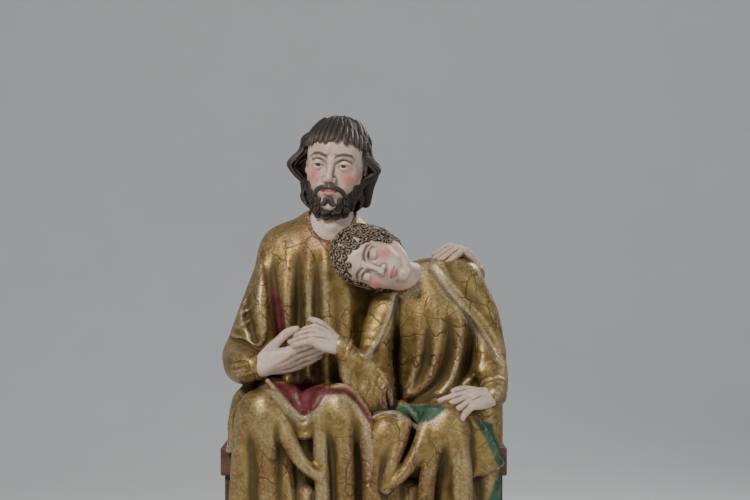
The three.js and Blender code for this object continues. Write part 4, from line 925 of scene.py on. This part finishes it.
def skin_place(clay, head, core, out):
    """Where a line from core along out leaves the wood, in the head's own frame."""
    line = core + out * np.linspace(30, 130, 101)[:, None]
    inside_wood = clay.sample(head.world(line)) < 0
    return line[np.flatnonzero(inside_wood).max()] if inside_wood.any() else None


def hair_edge(z):
    """How far towards the face his curls reach at a height: the y of the hair's edge."""
    return np.interp(z, (-76, -52, -24, 0, 22, 40, 50, 56), (16, -4, -24, -38, -48, -56, -72, -130))


def snail_curls(head, skull, rng):
    """His curls stand on the skull and the face alike, so none of the cap shows between them."""
    head.mass([0, 30, 18], [70, 78, 80], 0)
    head.mass([0, 50, -18], [60, 46, 62], 16)
    both = head.clay.field.copy()
    cap = Clay(head.clay.low, head.clay.low + 1, head.clay.cell)
    cap.field = both
    core = np.array([0, 14, 2])
    count = 400
    for n in range(count):
        z = 1 - 2 * (n + 0.5) / count
        turn = n * math.pi * (3 - math.sqrt(5))
        out = np.array([math.sqrt(1 - z * z) * math.sin(turn), math.sqrt(1 - z * z) * math.cos(turn), z])
        out += rng.normal(0, 0.025, 3)
        out /= np.linalg.norm(out)
        places = [skin_place(clay, head, core, out) for clay in (cap, skull)]
        centre = max((place for place in places if place is not None), key=lambda place: place @ out)
        tilt = out + rng.normal(0, 0.15, 3)
        hand, start = rng.choice((-1, 1)), 6 * rng.random()
        size, turns = 7.4 + 2.4 * rng.random(), 5 + 4 * rng.random()
        if centre[1] > hair_edge(centre[2]) and centre[2] > -82:
            head.mass(centre - out * 10.5, [13.8] * 3, 2)
            snail(head, centre + out * 4.4, tilt, start, hand, size, turns)


HEAD_CELL = 1.35
CURL_CELL = 1.15
FACE_TRIANGLES = 70000
HAIR_TRIANGLES = 150000
HAND_TRIANGLES = 25000
FOOT_TRIANGLES = 8000
rng = np.random.default_rng(7)
man_head = head_frame(box_clay((-72, 30, 1230), (100, 118, 180), HEAD_CELL), MAN)
face(man_head, asleep=False)
man_head.clay.add(egg((-86, 48, 1096), (76, 62, 66)), 8)
man_head.clay.add(limb([[-82, 52, 1120, 54], [-78, 40, 1190, 50], [-76, 40, 1240, 52]]), 20)
for start, end in (((-116, 20, 1230), (-92, -8, 1120)), ((-34, 26, 1230), (-78, -8, 1120))):
    man_head.clay.add(limb([[*start, 10], [*end, 7]]), 14)
man_face = carved("man_face", man_head.clay, FACE_TRIANGLES)

man_hair_head = head_frame(box_clay((-72, 44, 1240), (142, 140, 190), HEAD_CELL), MAN)
wavy_hair(man_hair_head, rng)
beard(man_hair_head)
man_hair = carved("man_hair", man_hair_head.clay, HAIR_TRIANGLES)

youth_head = head_frame(box_clay((50, -60, 1020), (150, 110, 110), HEAD_CELL), YOUTH)
face(youth_head, asleep=True)
youth_head.clay.add(limb([row(YOUTH["neck"], 44), [100, -44, 996, 42], [64, -60, 1014, 44]]), 10)
youth_face = carved("youth_face", youth_head.clay, FACE_TRIANGLES)

youth_hair_head = head_frame(box_clay((16, -60, 1040), (134, 130, 124), CURL_CELL), YOUTH)
snail_curls(youth_hair_head, youth_head.clay, rng)
youth_hair = carved("youth_hair", youth_hair_head.clay, HAIR_TRIANGLES)

# %% [markdown]
# ## Hands and feet
# A hand has its own frame too: x from wrist to fingertips, z out of its back, and the thumb on one side.
# Each finger droops by a few degrees at its joints, so one function makes all four hands.

# %% Hands
def hand(name, place, forward, up, arm, length, thumb, bend, thumb_lift=0, spread=3, cell=1.25):
    """arm is a place inside the sleeve, thumb is 1 or -1 for its side, and bend is each finger's droop in
    degrees at its two joints."""
    turn = turn_from(forward, up)
    unit = length / 180
    middle = np.array(place) + np.array(turn) @ np.array([62, 0, -8]) * unit
    h = Local(box_clay(middle, (128, 128, 128), cell), place, turn, unit)
    h.clay.add(limb([[*arm, 24 * unit], [*place, 22 * unit]]), 6)
    h.rod([[0, 0, 0, 22], [30, 5 * thumb, 0, 22], [66, 3 * thumb, 1, 17]], 12)
    h.rod([[16, -15 * thumb, -3, 16], [50, -24 * thumb, -2, 15], [80, -25 * thumb, -2, 12]], 9)
    h.rod([[22, 17 * thumb, -4, 17], [52, 22 * thumb, -1, 16], [82, 22 * thumb, 0, 12.5]], 9)
    nails = []
    for n, reach in enumerate((66, 76, 70, 54)):
        side = (27 - 18 * n) * thumb
        fan = math.radians((1.5 - n) * spread) * thumb
        at = np.array([88.0 - 2 * abs(n - 1), side, 1.0 - 1.2 * abs(n - 1)])
        h.rod([[20, side * 0.45, 15, 3], [60, side * 0.8, 15.5, 3], [*(at + [-2, 0, 4]), 7]], 9)
        rows = [[74, side * 0.95, -2, 11.5], [*at, 11.2]]
        droop = 0.0
        for joint, share in enumerate((0.46, 0.3, 0.24)):
            droop += math.radians(bend[n][min(joint, 1)]) * (0.75 if joint else 1)
            step = np.array([math.cos(droop) * math.cos(fan), math.sin(fan), -math.sin(droop)]) * reach * share
            rows.append([*(at + step / 2), 9.2 - 0.7 * joint])
            at = at + step
            rows.append([*at, 9.7 - 1.2 * joint])
        h.rod(rows, 2.2)
        back = np.array([math.sin(droop), 0, math.cos(droop)])
        nail = at - step * 0.15 + back * 6.2
        nails.append(nail)
        h.rod([[*(nail - step * 0.22), 4.4], [*(nail + step * 0.3), 4.0]], 0.6)
    lift = thumb_lift
    thumb_rows = [[12, 18 * thumb, -8, 17], [40, 38 * thumb, -5 + lift * 0.3, 13], [60, 46 * thumb, lift * 0.62, 10.6],
                  [76, 50 * thumb, lift * 0.82, 11], [90, 51 * thumb, lift * 0.94, 10], [104, 50 * thumb, lift, 7.6]]
    h.rod(thumb_rows, 7)
    nails.append(np.array([100, 52 * thumb, lift + 6]))
    piece = carved(name, h.clay, HAND_TRIANGLES)
    places = h.places(piece)
    near = np.min([np.linalg.norm(places - nail, axis=1) for nail in nails], axis=0)
    paint(piece, "nail", np.clip((7 - near) / 1.5, 0, 1))
    paint(piece, "exposure", exposure(h.clay, points_of(piece), 6))
    return piece


man_right_hand = hand("man_right_hand", MAN["wrist"], (0.95, -0.06, 0.26), (0.1, -0.75, -0.65), (-276, -78, 784),
                      186, 1, [[-2, 4], [2, 6], [6, 8], [10, 12]], thumb_lift=-42)
youth_right_hand = hand("youth_right_hand", YOUTH["wrist"], (-0.9, -0.12, 0.4), (0.2, -0.66, 0.7),
                        (-22, -124, 800), 158, -1, [[52, 14], [48, 14], [44, 14], [40, 14]])
youth_left_hand = hand("youth_left_hand", YOUTH["far_wrist"], (-0.9, -0.42, -0.12), (0.1, -0.5, 0.86),
                       (318, -70, 744), 160, -1, [[10, 14], [14, 16], [24, 22], [30, 24]], spread=9)
man_left_hand = hand("man_left_hand", MAN["far_wrist"], (-0.5, -0.62, 0.5), (0.3, -0.1, 1), (280, 84, 1002),
                     168, 1, [[60, 10], [58, 10], [56, 12], [54, 14]])


# %% Feet
def foot(name, place, turn_out, side):
    """A bare foot that looks out from under the hem: side is 1 where the big toe is on +x."""
    turn = Euler((0, 0, math.radians(turn_out))).to_matrix()
    f = Local(box_clay(np.array(place) + [0, 6, 22], (70, 78, 40), 1.6), place, turn)
    f.rod([[0, 66, 26, 30], [0, 10, 22, 25], [0, -22, 15, 20]], 8)
    f.rod([[-20, -4, 12, 15], [-20, -24, 10, 12]], 8)
    f.rod([[20, -4, 12, 15], [20, -24, 10, 12]], 8)
    for n, (reach, radius) in enumerate(((36, 12), (32, 9), (27, 8.5), (21, 8), (14, 7.5))):
        x = side * (24 - 13.4 * n + (2 if n == 0 else 0))
        front = -24 - reach
        f.rod([[x * 0.9, -22, 14, radius], [x, front + 16, radius + 3, radius * 0.86], [x, front, radius, radius * 0.92]], 2.5)
        f.mass([x, front - 2, radius * 1.72], [radius * 0.6, radius * 0.62, 2.4], 0.6)
    piece = carved(name, f.clay, FOOT_TRIANGLES)
    paint(piece, "nail", np.zeros(len(piece.data.vertices)))
    paint(piece, "exposure", exposure(f.clay, points_of(piece), 6))
    return piece


FOOT_Z = 57
feet = [
    foot("man_right_foot", (-236, -166, FOOT_Z), -6, 1),
    foot("man_left_foot", (-66, -166, FOOT_Z), 6, -1),
    foot("youth_right_foot", (66, -166, FOOT_Z), -6, 1),
    foot("youth_left_foot", (220, -166, FOOT_Z), 8, -1),
]

# %% [markdown]
# ## The bench and the base
# Boards are boxes with rounded edges. The seat, the two side boards and the front panel stand where the
# measured bench stands, and a thin frame round the panel gives it joinery. The base is two steps.

# %% Boards
def board(low, high, round_=3.0, cuts=0):
    """A board between two corners, its edges rounded, as part of a list to be joined."""
    mesh = bpy.data.meshes.new("board")
    shape = bmesh.new()
    bmesh.ops.create_cube(shape, size=1)
    middle, size = (np.array(low) + high) / 2, np.array(high) - low
    for corner in shape.verts:
        corner.co = Vector((middle + np.array(corner.co) * size) * MM)
    bmesh.ops.bevel(shape, geom=shape.edges, offset=round_ * MM, segments=3, profile=0.6, affect="EDGES")
    shape.to_mesh(mesh)
    shape.free()
    return mesh


def joined(name, meshes):
    whole = bpy.data.meshes.new(name)
    shape = bmesh.new()
    for mesh in meshes:
        shape.from_mesh(mesh)
        bpy.data.meshes.remove(mesh)
    shape.to_mesh(whole)
    shape.free()
    piece = bpy.data.objects.new(name, whole)
    bpy.context.scene.collection.objects.link(piece)
    piece.data.shade_smooth()
    print(name, len(whole.polygons), "faces")
    return piece


SEAT_TOP, SEAT_LOW, BASE_TOP = 572, 502, 56
seat_boards = [board((-356, -74, SEAT_LOW), (356, 236, SEAT_TOP), 5)]
for side in (-1, 1):
    x0, x1 = sorted((side * 346, side * 330))
    seat_boards.append(board((x0, -60, BASE_TOP + 0.5), (x1, 236, SEAT_LOW + 0.5), 2.5))
    x0, x1 = sorted((side * 329.5, side * 286))
    seat_boards.append(board((x0, -30, BASE_TOP + 0.5), (x1, -2, SEAT_LOW + 0.5), 2))
    seat_boards.append(board((x0, 214, BASE_TOP + 0.5), (x1, 234, SEAT_LOW + 0.5), 2))
for y0, y1 in ((-30, -2), (214, 234)):
    seat_boards.append(board((-286, y0, SEAT_LOW - 58), (286, y1, SEAT_LOW + 0.5), 2))
    seat_boards.append(board((-286, y0, BASE_TOP + 0.5), (286, y1, BASE_TOP + 62), 2))
seat_boards.append(board((-290, -14, BASE_TOP + 30), (290, 228, SEAT_LOW - 20), 2))
bench_boards = joined("bench_boards", seat_boards)
plinth = joined("plinth", [
    board((-370, -245, 0), (370, 245, 34), 4),
    board((-362, -237, 33), (362, 237, BASE_TOP), 7),
])

# %% [markdown]
# ## What each point of the mesh knows
# Paint on carved wood follows the carving: gilding rubs away on ridges and takes a painted highlight there, the
# hollows are darkened with painted shade and grime, and the lining's colour stops at the hem. So each point keeps a
# few numbers that its material reads. Two say how much wood stands around it, near by and further off. The others are
# areas drawn as the viewer sees them.

# %% Marks on the cloth
def seen_from_front(places):
    """The x and z where a viewer at the camera sees each place, on the plane through the origin."""
    shrink = VIEW_DISTANCE / (VIEW_DISTANCE + places[:, 1])
    return VIEW_SIDE + (places[:, 0] - VIEW_SIDE) * shrink, VIEW_HEIGHT + (places[:, 2] - VIEW_HEIGHT) * shrink


def at_pixel(x, y):
    """A place in a 750-wide picture as x and z on the plane through the origin."""
    return VIEW_SIDE + (x - 375) * 2.53, VIEW_HEIGHT - (y - 250) * 2.53


def area(places, corners, band=3.0, reach=(-1e3, 60)):
    """1 inside an outline of picture places, and 0 outside it or beyond the reach in y."""
    ring = [at_pixel(*corner) for corner in [*corners, corners[0]]]
    x, z = seen_from_front(places)
    near = (places[:, 1] > reach[0]) & (places[:, 1] < reach[1])
    return inside(ring, x, z, band) * near


def mark_cloth(piece, clay, linings, borders):
    places = points_of(piece)
    paint(piece, "ridge", exposure(clay, places, 8))
    paint(piece, "hollow", exposure(clay, places, 26))
    paint(piece, "lining", np.max([area(places, *given) for given in linings], axis=0))
    paint(piece, "border", np.max([area(places, *given) for given in borders], axis=0))
    print(piece.name, "marked at", len(places), "points")


MAN_LININGS = (
    [[(266, 381), (284, 383), (301, 383), (307, 376), (317, 385), (332, 388), (349, 388), (363, 405), (373, 421),
      (369, 423), (357, 404), (345, 394), (325, 395), (317, 408), (305, 416), (293, 407), (279, 391)]],
    [[(274, 286), (286, 310), (288, 342), (268, 346), (266, 320), (270, 300)], 3.0, (-30, 60)],
)
MAN_BORDERS = (
    [[(258, 386), (268, 384), (279, 391), (293, 407), (305, 416), (317, 408), (325, 395), (345, 394), (357, 404),
      (369, 423), (378, 470), (372, 470), (363, 425), (351, 405), (340, 398), (327, 402), (316, 420), (303, 426),
      (287, 414), (271, 395)]],
)
YOUTH_LININGS = (
    [[(388, 404), (412, 405), (440, 404), (446, 408), (438, 416), (428, 422), (416, 423), (404, 415), (390, 409)]],
    [[(474, 419), (492, 424), (500, 452), (508, 440), (508, 505), (486, 505), (500, 470), (486, 440)]],
)
YOUTH_BORDERS = (
    [[(424, 262), (436, 262), (448, 285), (466, 305), (487, 335), (507, 364), (503, 371), (480, 340), (458, 312),
      (440, 292), (428, 270)], 2.0],
    [[(391, 294), (398, 298), (390, 330), (370, 360), (363, 356), (383, 328)], 2.0],
    [[(404, 268), (428, 262), (428, 270), (420, 292), (406, 303), (400, 296), (414, 286), (421, 270)], 2.0],
    [[(376, 412), (390, 409), (404, 415), (416, 423), (428, 422), (440, 415), (446, 408), (450, 412), (436, 426),
      (416, 430), (400, 420), (384, 414)], 2.0],
)
mark_cloth(man_robe, man_clay, MAN_LININGS, MAN_BORDERS)
mark_cloth(youth_robe, youth_clay, YOUTH_LININGS, YOUTH_BORDERS)


# %% Marks on the faces and hair
def ring_mask(x, z, corners, band=0.8):
    return inside([*corners, corners[0]], x, z, band)


def mark_face(piece, head, asleep):
    x, y, z = head.places(piece).T
    across = np.abs(x)
    lips = [(-18, -54.5), (-9, -49), (-3, -47.6), (0, -49.2), (3, -47.6), (9, -49), (18, -54.5), (9, -63.5),
            (0, -65), (-9, -63.5)]
    brows = [(7, 14), (16, 19.5), (28, 22.5), (40, 20.5), (52, 12), (42, 25), (28, 28.5), (15, 25), (7, 20)]
    paint(piece, "lips", ring_mask(x, z, lips) * (y < -68))
    paint(piece, "brow", ring_mask(across, z, brows) * (y < -48))
    paint(piece, "blush", np.exp(-(((across - 37) / 15) ** 2 + ((z + 24) / 18) ** 2)) * (y < -20))
    off = np.sqrt((across - EYE[0]) ** 2 + (y - EYE[1]) ** 2 + (z - EYE[2]) ** 2)
    gaze = np.hypot(across - EYE[0], z - 0.5)
    eye = np.zeros(len(x)) if asleep else np.clip((BALL + 0.55 - off) / 0.3, 0, 1) * (y < EYE[1]) * (gaze < 15)
    paint(piece, "eye", eye)
    paint(piece, "iris", eye * np.clip((6.2 - gaze) / 0.8, 0, 1))
    edge = -5.5 + 4.5 * ((across - EYE[0]) / 13.2) ** 2 if asleep else 3.4 - 5 * ((across - EYE[0]) / 13.2) ** 2
    lash = np.clip(1.2 - np.abs(z - edge), 0, 1) * (np.abs(across - EYE[0]) < 13) * (y < -60)
    paint(piece, "lash", lash)
    paint(piece, "exposure", exposure(head.clay, points_of(piece), 7))


mark_face(man_face, man_head, asleep=False)
mark_face(youth_face, youth_head, asleep=True)
for piece, head in ((man_hair, man_hair_head), (youth_hair, youth_hair_head)):
    paint(piece, "exposure", exposure(head.clay, points_of(piece), 4))

# %% [markdown]
# ## Paint by sums
# A material is a sum over a surface. Writing it as Python expressions keeps it readable: each value wraps
# one socket, and a sum of values adds the Math node that works it out.

# %% Values and finishes
class Value:
    def __init__(self, finish, socket):
        self.finish, self.socket = finish, socket

    def maths(self, operation, *others, clamp=False):
        return self.finish.node("ShaderNodeMath", {"operation": operation, "use_clamp": clamp},
                                dict(enumerate((self, *others))))

    def __add__(self, other):
        return self.maths("ADD", other)

    def __radd__(self, other):
        return self.maths("ADD", other)

    def __sub__(self, other):
        return self.maths("SUBTRACT", other)

    def __rsub__(self, other):
        return (self * -1) + other

    def __mul__(self, other):
        return self.maths("MULTIPLY", other)

    def __rmul__(self, other):
        return self.maths("MULTIPLY", other)

    def __pow__(self, other):
        return self.maths("POWER", other)

    def step(self, low, high):
        """0 below low and 1 above high, with a smooth rise between. low above high turns it round."""
        values = {0: self, 1: low, 2: high, 3: 0.0, 4: 1.0}
        if low > high:
            values = {0: self, 1: high, 2: low, 3: 1.0, 4: 0.0}
        return self.finish.node("ShaderNodeMapRange", {"interpolation_type": "SMOOTHSTEP"}, values)


class Finish:
    def __init__(self, name):
        self.material = bpy.data.materials.new(name)
        self.material.use_nodes = True
        self.nodes = self.material.node_tree.nodes
        self.shader = self.nodes["Principled BSDF"]
        coordinates = self.nodes.new("ShaderNodeTexCoord")
        self.place = Value(self, coordinates.outputs["Object"])

    def node(self, kind, settings=None, values=None, output=0):
        made = self.nodes.new(kind)
        for key, value in (settings or {}).items():
            setattr(made, key, value)
        for key, value in (values or {}).items():
            self.feed(made.inputs[key], value)
        return Value(self, made.outputs[output])

    def feed(self, socket, value):
        if isinstance(value, Value):
            self.material.node_tree.links.new(value.socket, socket)
        elif socket.type == "RGBA" and len(value) == 3:
            socket.default_value = (*value, 1)
        else:
            socket.default_value = value

    def attribute(self, name):
        return self.node("ShaderNodeAttribute", {"attribute_name": name}, output="Fac")

    def noise(self, scale, detail=4.0, stretch=None, rough=0.55):
        place = self.place if stretch is None else self.stretched(stretch)
        return self.node("ShaderNodeTexNoise", None,
                         {"Vector": place, "Scale": scale, "Detail": detail, "Roughness": rough})

    def stretched(self, factors, shift=None):
        moved = self.node("ShaderNodeVectorMath", {"operation": "MULTIPLY"}, {0: self.place, 1: factors})
        if shift is not None:
            moved = self.node("ShaderNodeVectorMath", {"operation": "ADD"}, {0: moved, 1: shift})
        return moved

    def mix(self, share, first, second):
        return self.node("ShaderNodeMix", {"data_type": "RGBA"}, {0: share, 6: first, 7: second}, output=2)

    def cracks(self, scale, width, wander=0.012):
        """Thin wandering lines between cells: 1 in a crack."""
        drift = self.node("ShaderNodeTexNoise", None, {"Vector": self.place, "Scale": scale * 0.7}, output=1)
        drift = self.node("ShaderNodeVectorMath", {"operation": "MULTIPLY"}, {0: drift, 1: (wander,) * 3})
        place = self.node("ShaderNodeVectorMath", {"operation": "ADD"}, {0: self.place, 1: drift})
        gap = self.node("ShaderNodeTexVoronoi", {"feature": "DISTANCE_TO_EDGE"}, {"Vector": place, "Scale": scale})
        return gap.step(width, width * 0.3)

    def finish(self, colour, roughness, height=None, depth=1.0, metallic=0.0, coat=0.0):
        for name, value in (("Base Color", colour), ("Roughness", roughness), ("Metallic", metallic),
                            ("Coat Weight", coat)):
            self.feed(self.shader.inputs[name], value)
        if height is not None:
            bump = self.node("ShaderNodeBump", None, {"Strength": 1.0, "Distance": depth * MM, "Height": height})
            self.feed(self.shader.inputs["Normal"], bump)
        print(self.material.name, len(self.nodes), "nodes")
        return self.material


# %% [markdown]
# ## Aged gilding
# Gold leaf lies on a red clay ground over chalk and wood. Where hands and dusters have rubbed it, on knees
# and shoulders, the brown ground shows through. The ridges carry a painted highlight of paler gold, with pale
# specks of painted highlight and dust. In the hollows the leaf is whole, but darkened to a dark olive by painted
# shade and some grime, and fine cracks run over all of it. The lining is plain paint, scuffed at its edges.

# %% The gilded cloth
def gilded_cloth(name, lining_colour, lining_dark, warm):
    f = Finish(name)
    ridge, hollow = f.attribute("ridge"), f.attribute("hollow")
    patches, blotches, specks, grain = f.noise(7, 5), f.noise(34, 6), f.noise(150, 4), f.noise(620, 3)
    drips = f.noise(30, 4, (1, 1, 0.16))
    height = f.node("ShaderNodeSeparateXYZ", None, {0: f.place}, output=2)
    low = height.step(0.78, 0.69)
    shoulder = height.step(0.97, 1.09)
    # Rubbed to the ground: on ridges, more of it on the knees and the shoulders.
    rub = ridge * 3.0 + patches * 1.3 + blotches * 0.7 + low * 0.36 + shoulder * 0.55
    rubbed = rub.step(1.50, 1.95)
    # painted shade with some grime: the gold darkens in the hollows and away from the ridges, broken up by streaks and
    # blotches
    hollow_shade_and_grime = (hollow * -2.2 + ridge * -2.4 + drips * 0.8 + blotches * 0.5).step(0.55, 1.35)
    # painted highlight: paler gold on the ridges
    ridge_highlight = (ridge * 2.2 + specks * 1.1 + patches * -0.6 + drips * 0.5).step(0.45, 1.1)
    leaf = f.mix(blotches.step(0.35, 0.7), (0.24, 0.15, 0.045), (0.42, 0.29, 0.10))
    leaf = f.mix(ridge_highlight * 0.7, leaf, (0.60, 0.47, 0.27))
    ground = f.mix(specks.step(0.35, 0.65), (0.10, 0.032, 0.012), warm)
    colour = f.mix(rubbed * 0.85, leaf, ground)
    # painted shade: the hollows go to a dark olive
    colour = f.mix(hollow_shade_and_grime * 0.82, colour, (0.050, 0.034, 0.012))
    # painted highlight with dust: pale pinkish-white on the ridges and in scattered specks
    dust_and_highlight = (specks + drips * 0.6 + ridge * 0.8).step(0.98, 1.16)
    colour = f.mix(dust_and_highlight * 0.45, colour, (0.55, 0.46, 0.36))
    cracks = f.cracks(17, 0.035, 0.05) * patches.step(0.40, 0.60) * (1 - hollow_shade_and_grime)
    fine = f.cracks(120, 0.05, 0.012) * blotches.step(0.45, 0.62)
    lines = (cracks + fine * 0.5).maths("MINIMUM", 1.0)
    colour = f.mix(lines * 0.6, colour, (0.030, 0.018, 0.010))
    border = f.attribute("border")
    dots = f.node("ShaderNodeTexVoronoi", {"feature": "F1"}, {"Vector": f.place, "Scale": 150.0})
    trim = f.mix(dots.step(0.42, 0.30), (0.40, 0.30, 0.17), (0.62, 0.52, 0.36))
    # the trim darkens with painted shade in the hollows, and where it is rubbed
    trim = f.mix(hollow_shade_and_grime * 0.7 + rubbed * 0.2, trim, (0.07, 0.045, 0.02))
    colour = f.mix(border * 0.75, colour, trim)
    lining = f.attribute("lining")
    paint_colour = f.mix((blotches + drips * 0.5).step(0.55, 0.95), lining_dark, lining_colour)
    paint_colour = f.mix((specks + ridge).step(0.62, 0.80) * 0.4, paint_colour, (0.34, 0.25, 0.20))
    colour = f.mix(lining, colour, paint_colour)
    metal = (0.78 - rubbed * 0.62 - hollow_shade_and_grime * 0.45 - dust_and_highlight * 0.2) * (1 - lining) * (1 - border * 0.5)
    metal = metal.maths("MAXIMUM", 0.0)
    rough = 0.36 + hollow_shade_and_grime * 0.26 + specks * 0.12 + lining * 0.12 - rubbed * 0.05
    relief = blotches * 0.5 + specks * 0.35 + grain * 0.16 - lines * 0.5 + rubbed * -0.15
    return f.finish(colour, rough, relief, 1.5, metal)


man_gilding = gilded_cloth("man_gilding", (0.19, 0.030, 0.036), (0.06, 0.009, 0.012), (0.25, 0.095, 0.030))
youth_gilding = gilded_cloth("youth_gilding", (0.035, 0.13, 0.060), (0.009, 0.038, 0.019), (0.23, 0.10, 0.035))


# %% [markdown]
# ## Painted flesh, hair and wood
# Flesh is oil paint over chalk, with a soft eggshell shine. Cheeks and lips are glazed red, brows are
# drawn with a brush, and painted shade with some grime darkens the corners. Hair is dark paint, with a painted
# highlight on the ridges of the strands and painted shade in the grooves between them. The bench is bare old wood with
# open grain.

# %% Flesh, hair and wood
def flesh(name, is_face):
    f = Finish(name)
    exposed = f.attribute("exposure")
    patches, blotches, specks = f.noise(14, 4), f.noise(70, 5), f.noise(320, 4)
    colour = f.mix(patches.step(0.35, 0.7), (0.56, 0.40, 0.31), (0.66, 0.52, 0.43))
    # painted shade with some grime: darker brown in the hollows and corners
    hollow_shade_and_grime = (exposed * -2.6 + blotches * 0.6).step(0.42, 1.0)
    colour = f.mix(hollow_shade_and_grime * 0.7, colour, (0.17, 0.095, 0.06))
    worn = (blotches * 0.7 + specks * 0.5 + exposed * 0.4).step(0.74, 0.82)
    colour = f.mix(worn * 0.35, colour, (0.36, 0.25, 0.18))
    rough = 0.40 + blotches * 0.12 + hollow_shade_and_grime * 0.2
    if is_face:
        colour = f.mix(f.attribute("blush") * 0.78, colour, (0.60, 0.13, 0.11))
        colour = f.mix(f.attribute("lips") * 0.75, colour, (0.36, 0.085, 0.075))
        colour = f.mix(f.attribute("brow") * 0.85, colour, (0.060, 0.034, 0.022))
        colour = f.mix(f.attribute("eye") * 0.7, colour, (0.62, 0.55, 0.46))
        colour = f.mix(f.attribute("iris"), colour, (0.035, 0.020, 0.012))
        colour = f.mix(f.attribute("lash") * 0.8, colour, (0.05, 0.028, 0.02))
    else:
        colour = f.mix(f.attribute("nail") * 0.3, colour, (0.60, 0.40, 0.33))
    fine = f.cracks(95, 0.035, 0.012) * blotches.step(0.5, 0.62)
    colour = f.mix(fine * 0.4, colour, (0.14, 0.085, 0.06))
    return f.finish(colour, rough, blotches * 0.4 + specks * 0.3 - fine * 0.5 - worn * 0.3, 0.7)


def painted_hair(name, dark, mid, pale, low, high):
    f = Finish(name)
    exposed = f.attribute("exposure")
    patches, specks = f.noise(22, 4), f.noise(240, 4)
    # painted highlight and shade: the ridges of the strands lighter, the grooves between them dark
    lit = (exposed * 2.0 + patches * 0.5 + specks * 0.4).step(low, high)
    colour = f.mix(lit, dark, mid)
    # painted highlight: the highest ridges turn pale
    colour = f.mix((exposed * 2.0 + specks * 0.9 + patches * 0.4).step(high, high + 0.6), colour, pale)
    return f.finish(colour, 0.5 + specks * 0.15 - lit * 0.1, specks * 0.6 + patches * 0.4, 0.6)


def old_wood(name, dark, mid):
    f = Finish(name)
    grain = f.noise(26, 6, (0.10, 1, 1), 0.6)
    pores = f.noise(210, 3, (0.05, 1, 1))
    patches = f.noise(5, 4)
    colour = f.mix((grain + patches * 0.5).step(0.52, 1.0), dark, mid)
    colour = f.mix(pores.step(0.56, 0.68) * 0.6, colour, (0.020, 0.010, 0.006))
    colour = f.mix((patches + grain * 0.3).step(0.72, 0.9) * 0.3, colour, (0.22, 0.15, 0.10))
    return f.finish(colour, 0.55 + grain * 0.2, grain * 0.5 - pores * 0.4, 0.8)


face_paint = flesh("face_paint", True)
hand_paint = flesh("hand_paint", False)
dark_hair = painted_hair("dark_hair", (0.012, 0.008, 0.006), (0.085, 0.058, 0.044), (0.22, 0.175, 0.14), 0.1, 1.6)
curl_paint = painted_hair("curl_paint", (0.025, 0.016, 0.010), (0.20, 0.145, 0.095), (0.40, 0.32, 0.23), 0.1, 1.6)
bench_wood = old_wood("bench_wood", (0.060, 0.026, 0.014), (0.16, 0.075, 0.040))
base_wood = old_wood("base_wood", (0.045, 0.024, 0.014), (0.12, 0.065, 0.036))

# %% [markdown]
# ## Putting it together
# Every piece stands for the carved body that the measured frame holds, takes its finish from one named
# material slot, and rides on the object's only body.

# %% Materials, nodes and slots
def placed(piece, material, node):
    piece.data.materials.clear()
    piece.data.materials.append(material)
    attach(piece, "root")
    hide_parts(node)


placed(man_robe, man_gilding, "seated_group")
placed(youth_robe, youth_gilding, "seated_group")
for piece in (man_face, youth_face):
    placed(piece, face_paint, "seated_group")
for piece in (man_right_hand, youth_right_hand, youth_left_hand, man_left_hand, *feet):
    placed(piece, hand_paint, "seated_group")
placed(man_hair, dark_hair, "seated_group")
placed(youth_hair, curl_paint, "seated_group")
placed(bench_boards, bench_wood, "bench")
placed(plinth, base_wood, "base")

# %% [markdown]
# ## The studio
# The floor is pale and turns up far behind without an edge. One large soft light stands high on the left,
# as in the picture, with a weak fill on the right, so the folds keep their shadows.

# %% Floor and lights
def floor_sheet():
    rows = [(-6.0, 0.0), (3.0, 0.0), *((3.0 + 2.5 * math.sin(t), 2.5 - 2.5 * math.cos(t))
                                       for t in np.linspace(0.2, math.pi / 2, 12)), (5.5, 7.0)]
    mesh = bpy.data.meshes.new("floor")
    corners = [(x, y, z) for y, z in rows for x in (-9.0, 9.0)]
    faces = [(2 * n, 2 * n + 1, 2 * n + 3, 2 * n + 2) for n in range(len(rows) - 1)]
    mesh.from_pydata(corners, [], faces)
    mesh.shade_smooth()
    sheet = bpy.data.objects.new("floor", mesh)
    bpy.context.scene.collection.objects.link(sheet)
    f = Finish("pale_floor")
    cloud = f.noise(3, 3)
    mesh.materials.append(f.finish(f.mix(cloud, (0.74, 0.74, 0.73), (0.80, 0.80, 0.79)), 0.8))


def soft_light(name, place, target, power, size, colour=(1, 1, 1)):
    data = bpy.data.lights.new(name, "AREA")
    data.shape = "DISK"
    data.size = size
    data.energy = power
    data.color = colour
    light = bpy.data.objects.new(name, data)
    light.location = place
    light.rotation_euler = (Vector(target) - Vector(place)).to_track_quat("-Z", "Y").to_euler()
    bpy.context.scene.collection.objects.link(light)


floor_sheet()
soft_light("key", (-1.5, -2.6, 3.3), (0, 0, 0.9), 105, 0.9, (1, 0.96, 0.9))
soft_light("fill", (2.6, -2.6, 1.6), (0, 0, 0.8), 22, 2.2, (0.92, 0.96, 1))
soft_light("rim", (1.6, 1.9, 2.6), (0, 0, 0.9), 40, 1.2)
world = bpy.data.worlds.new("studio")
world.use_nodes = True
world.node_tree.nodes["Background"].inputs["Color"].default_value = (0.62, 0.66, 0.72, 1)
world.node_tree.nodes["Background"].inputs["Strength"].default_value = 0.45
bpy.context.scene.world = world
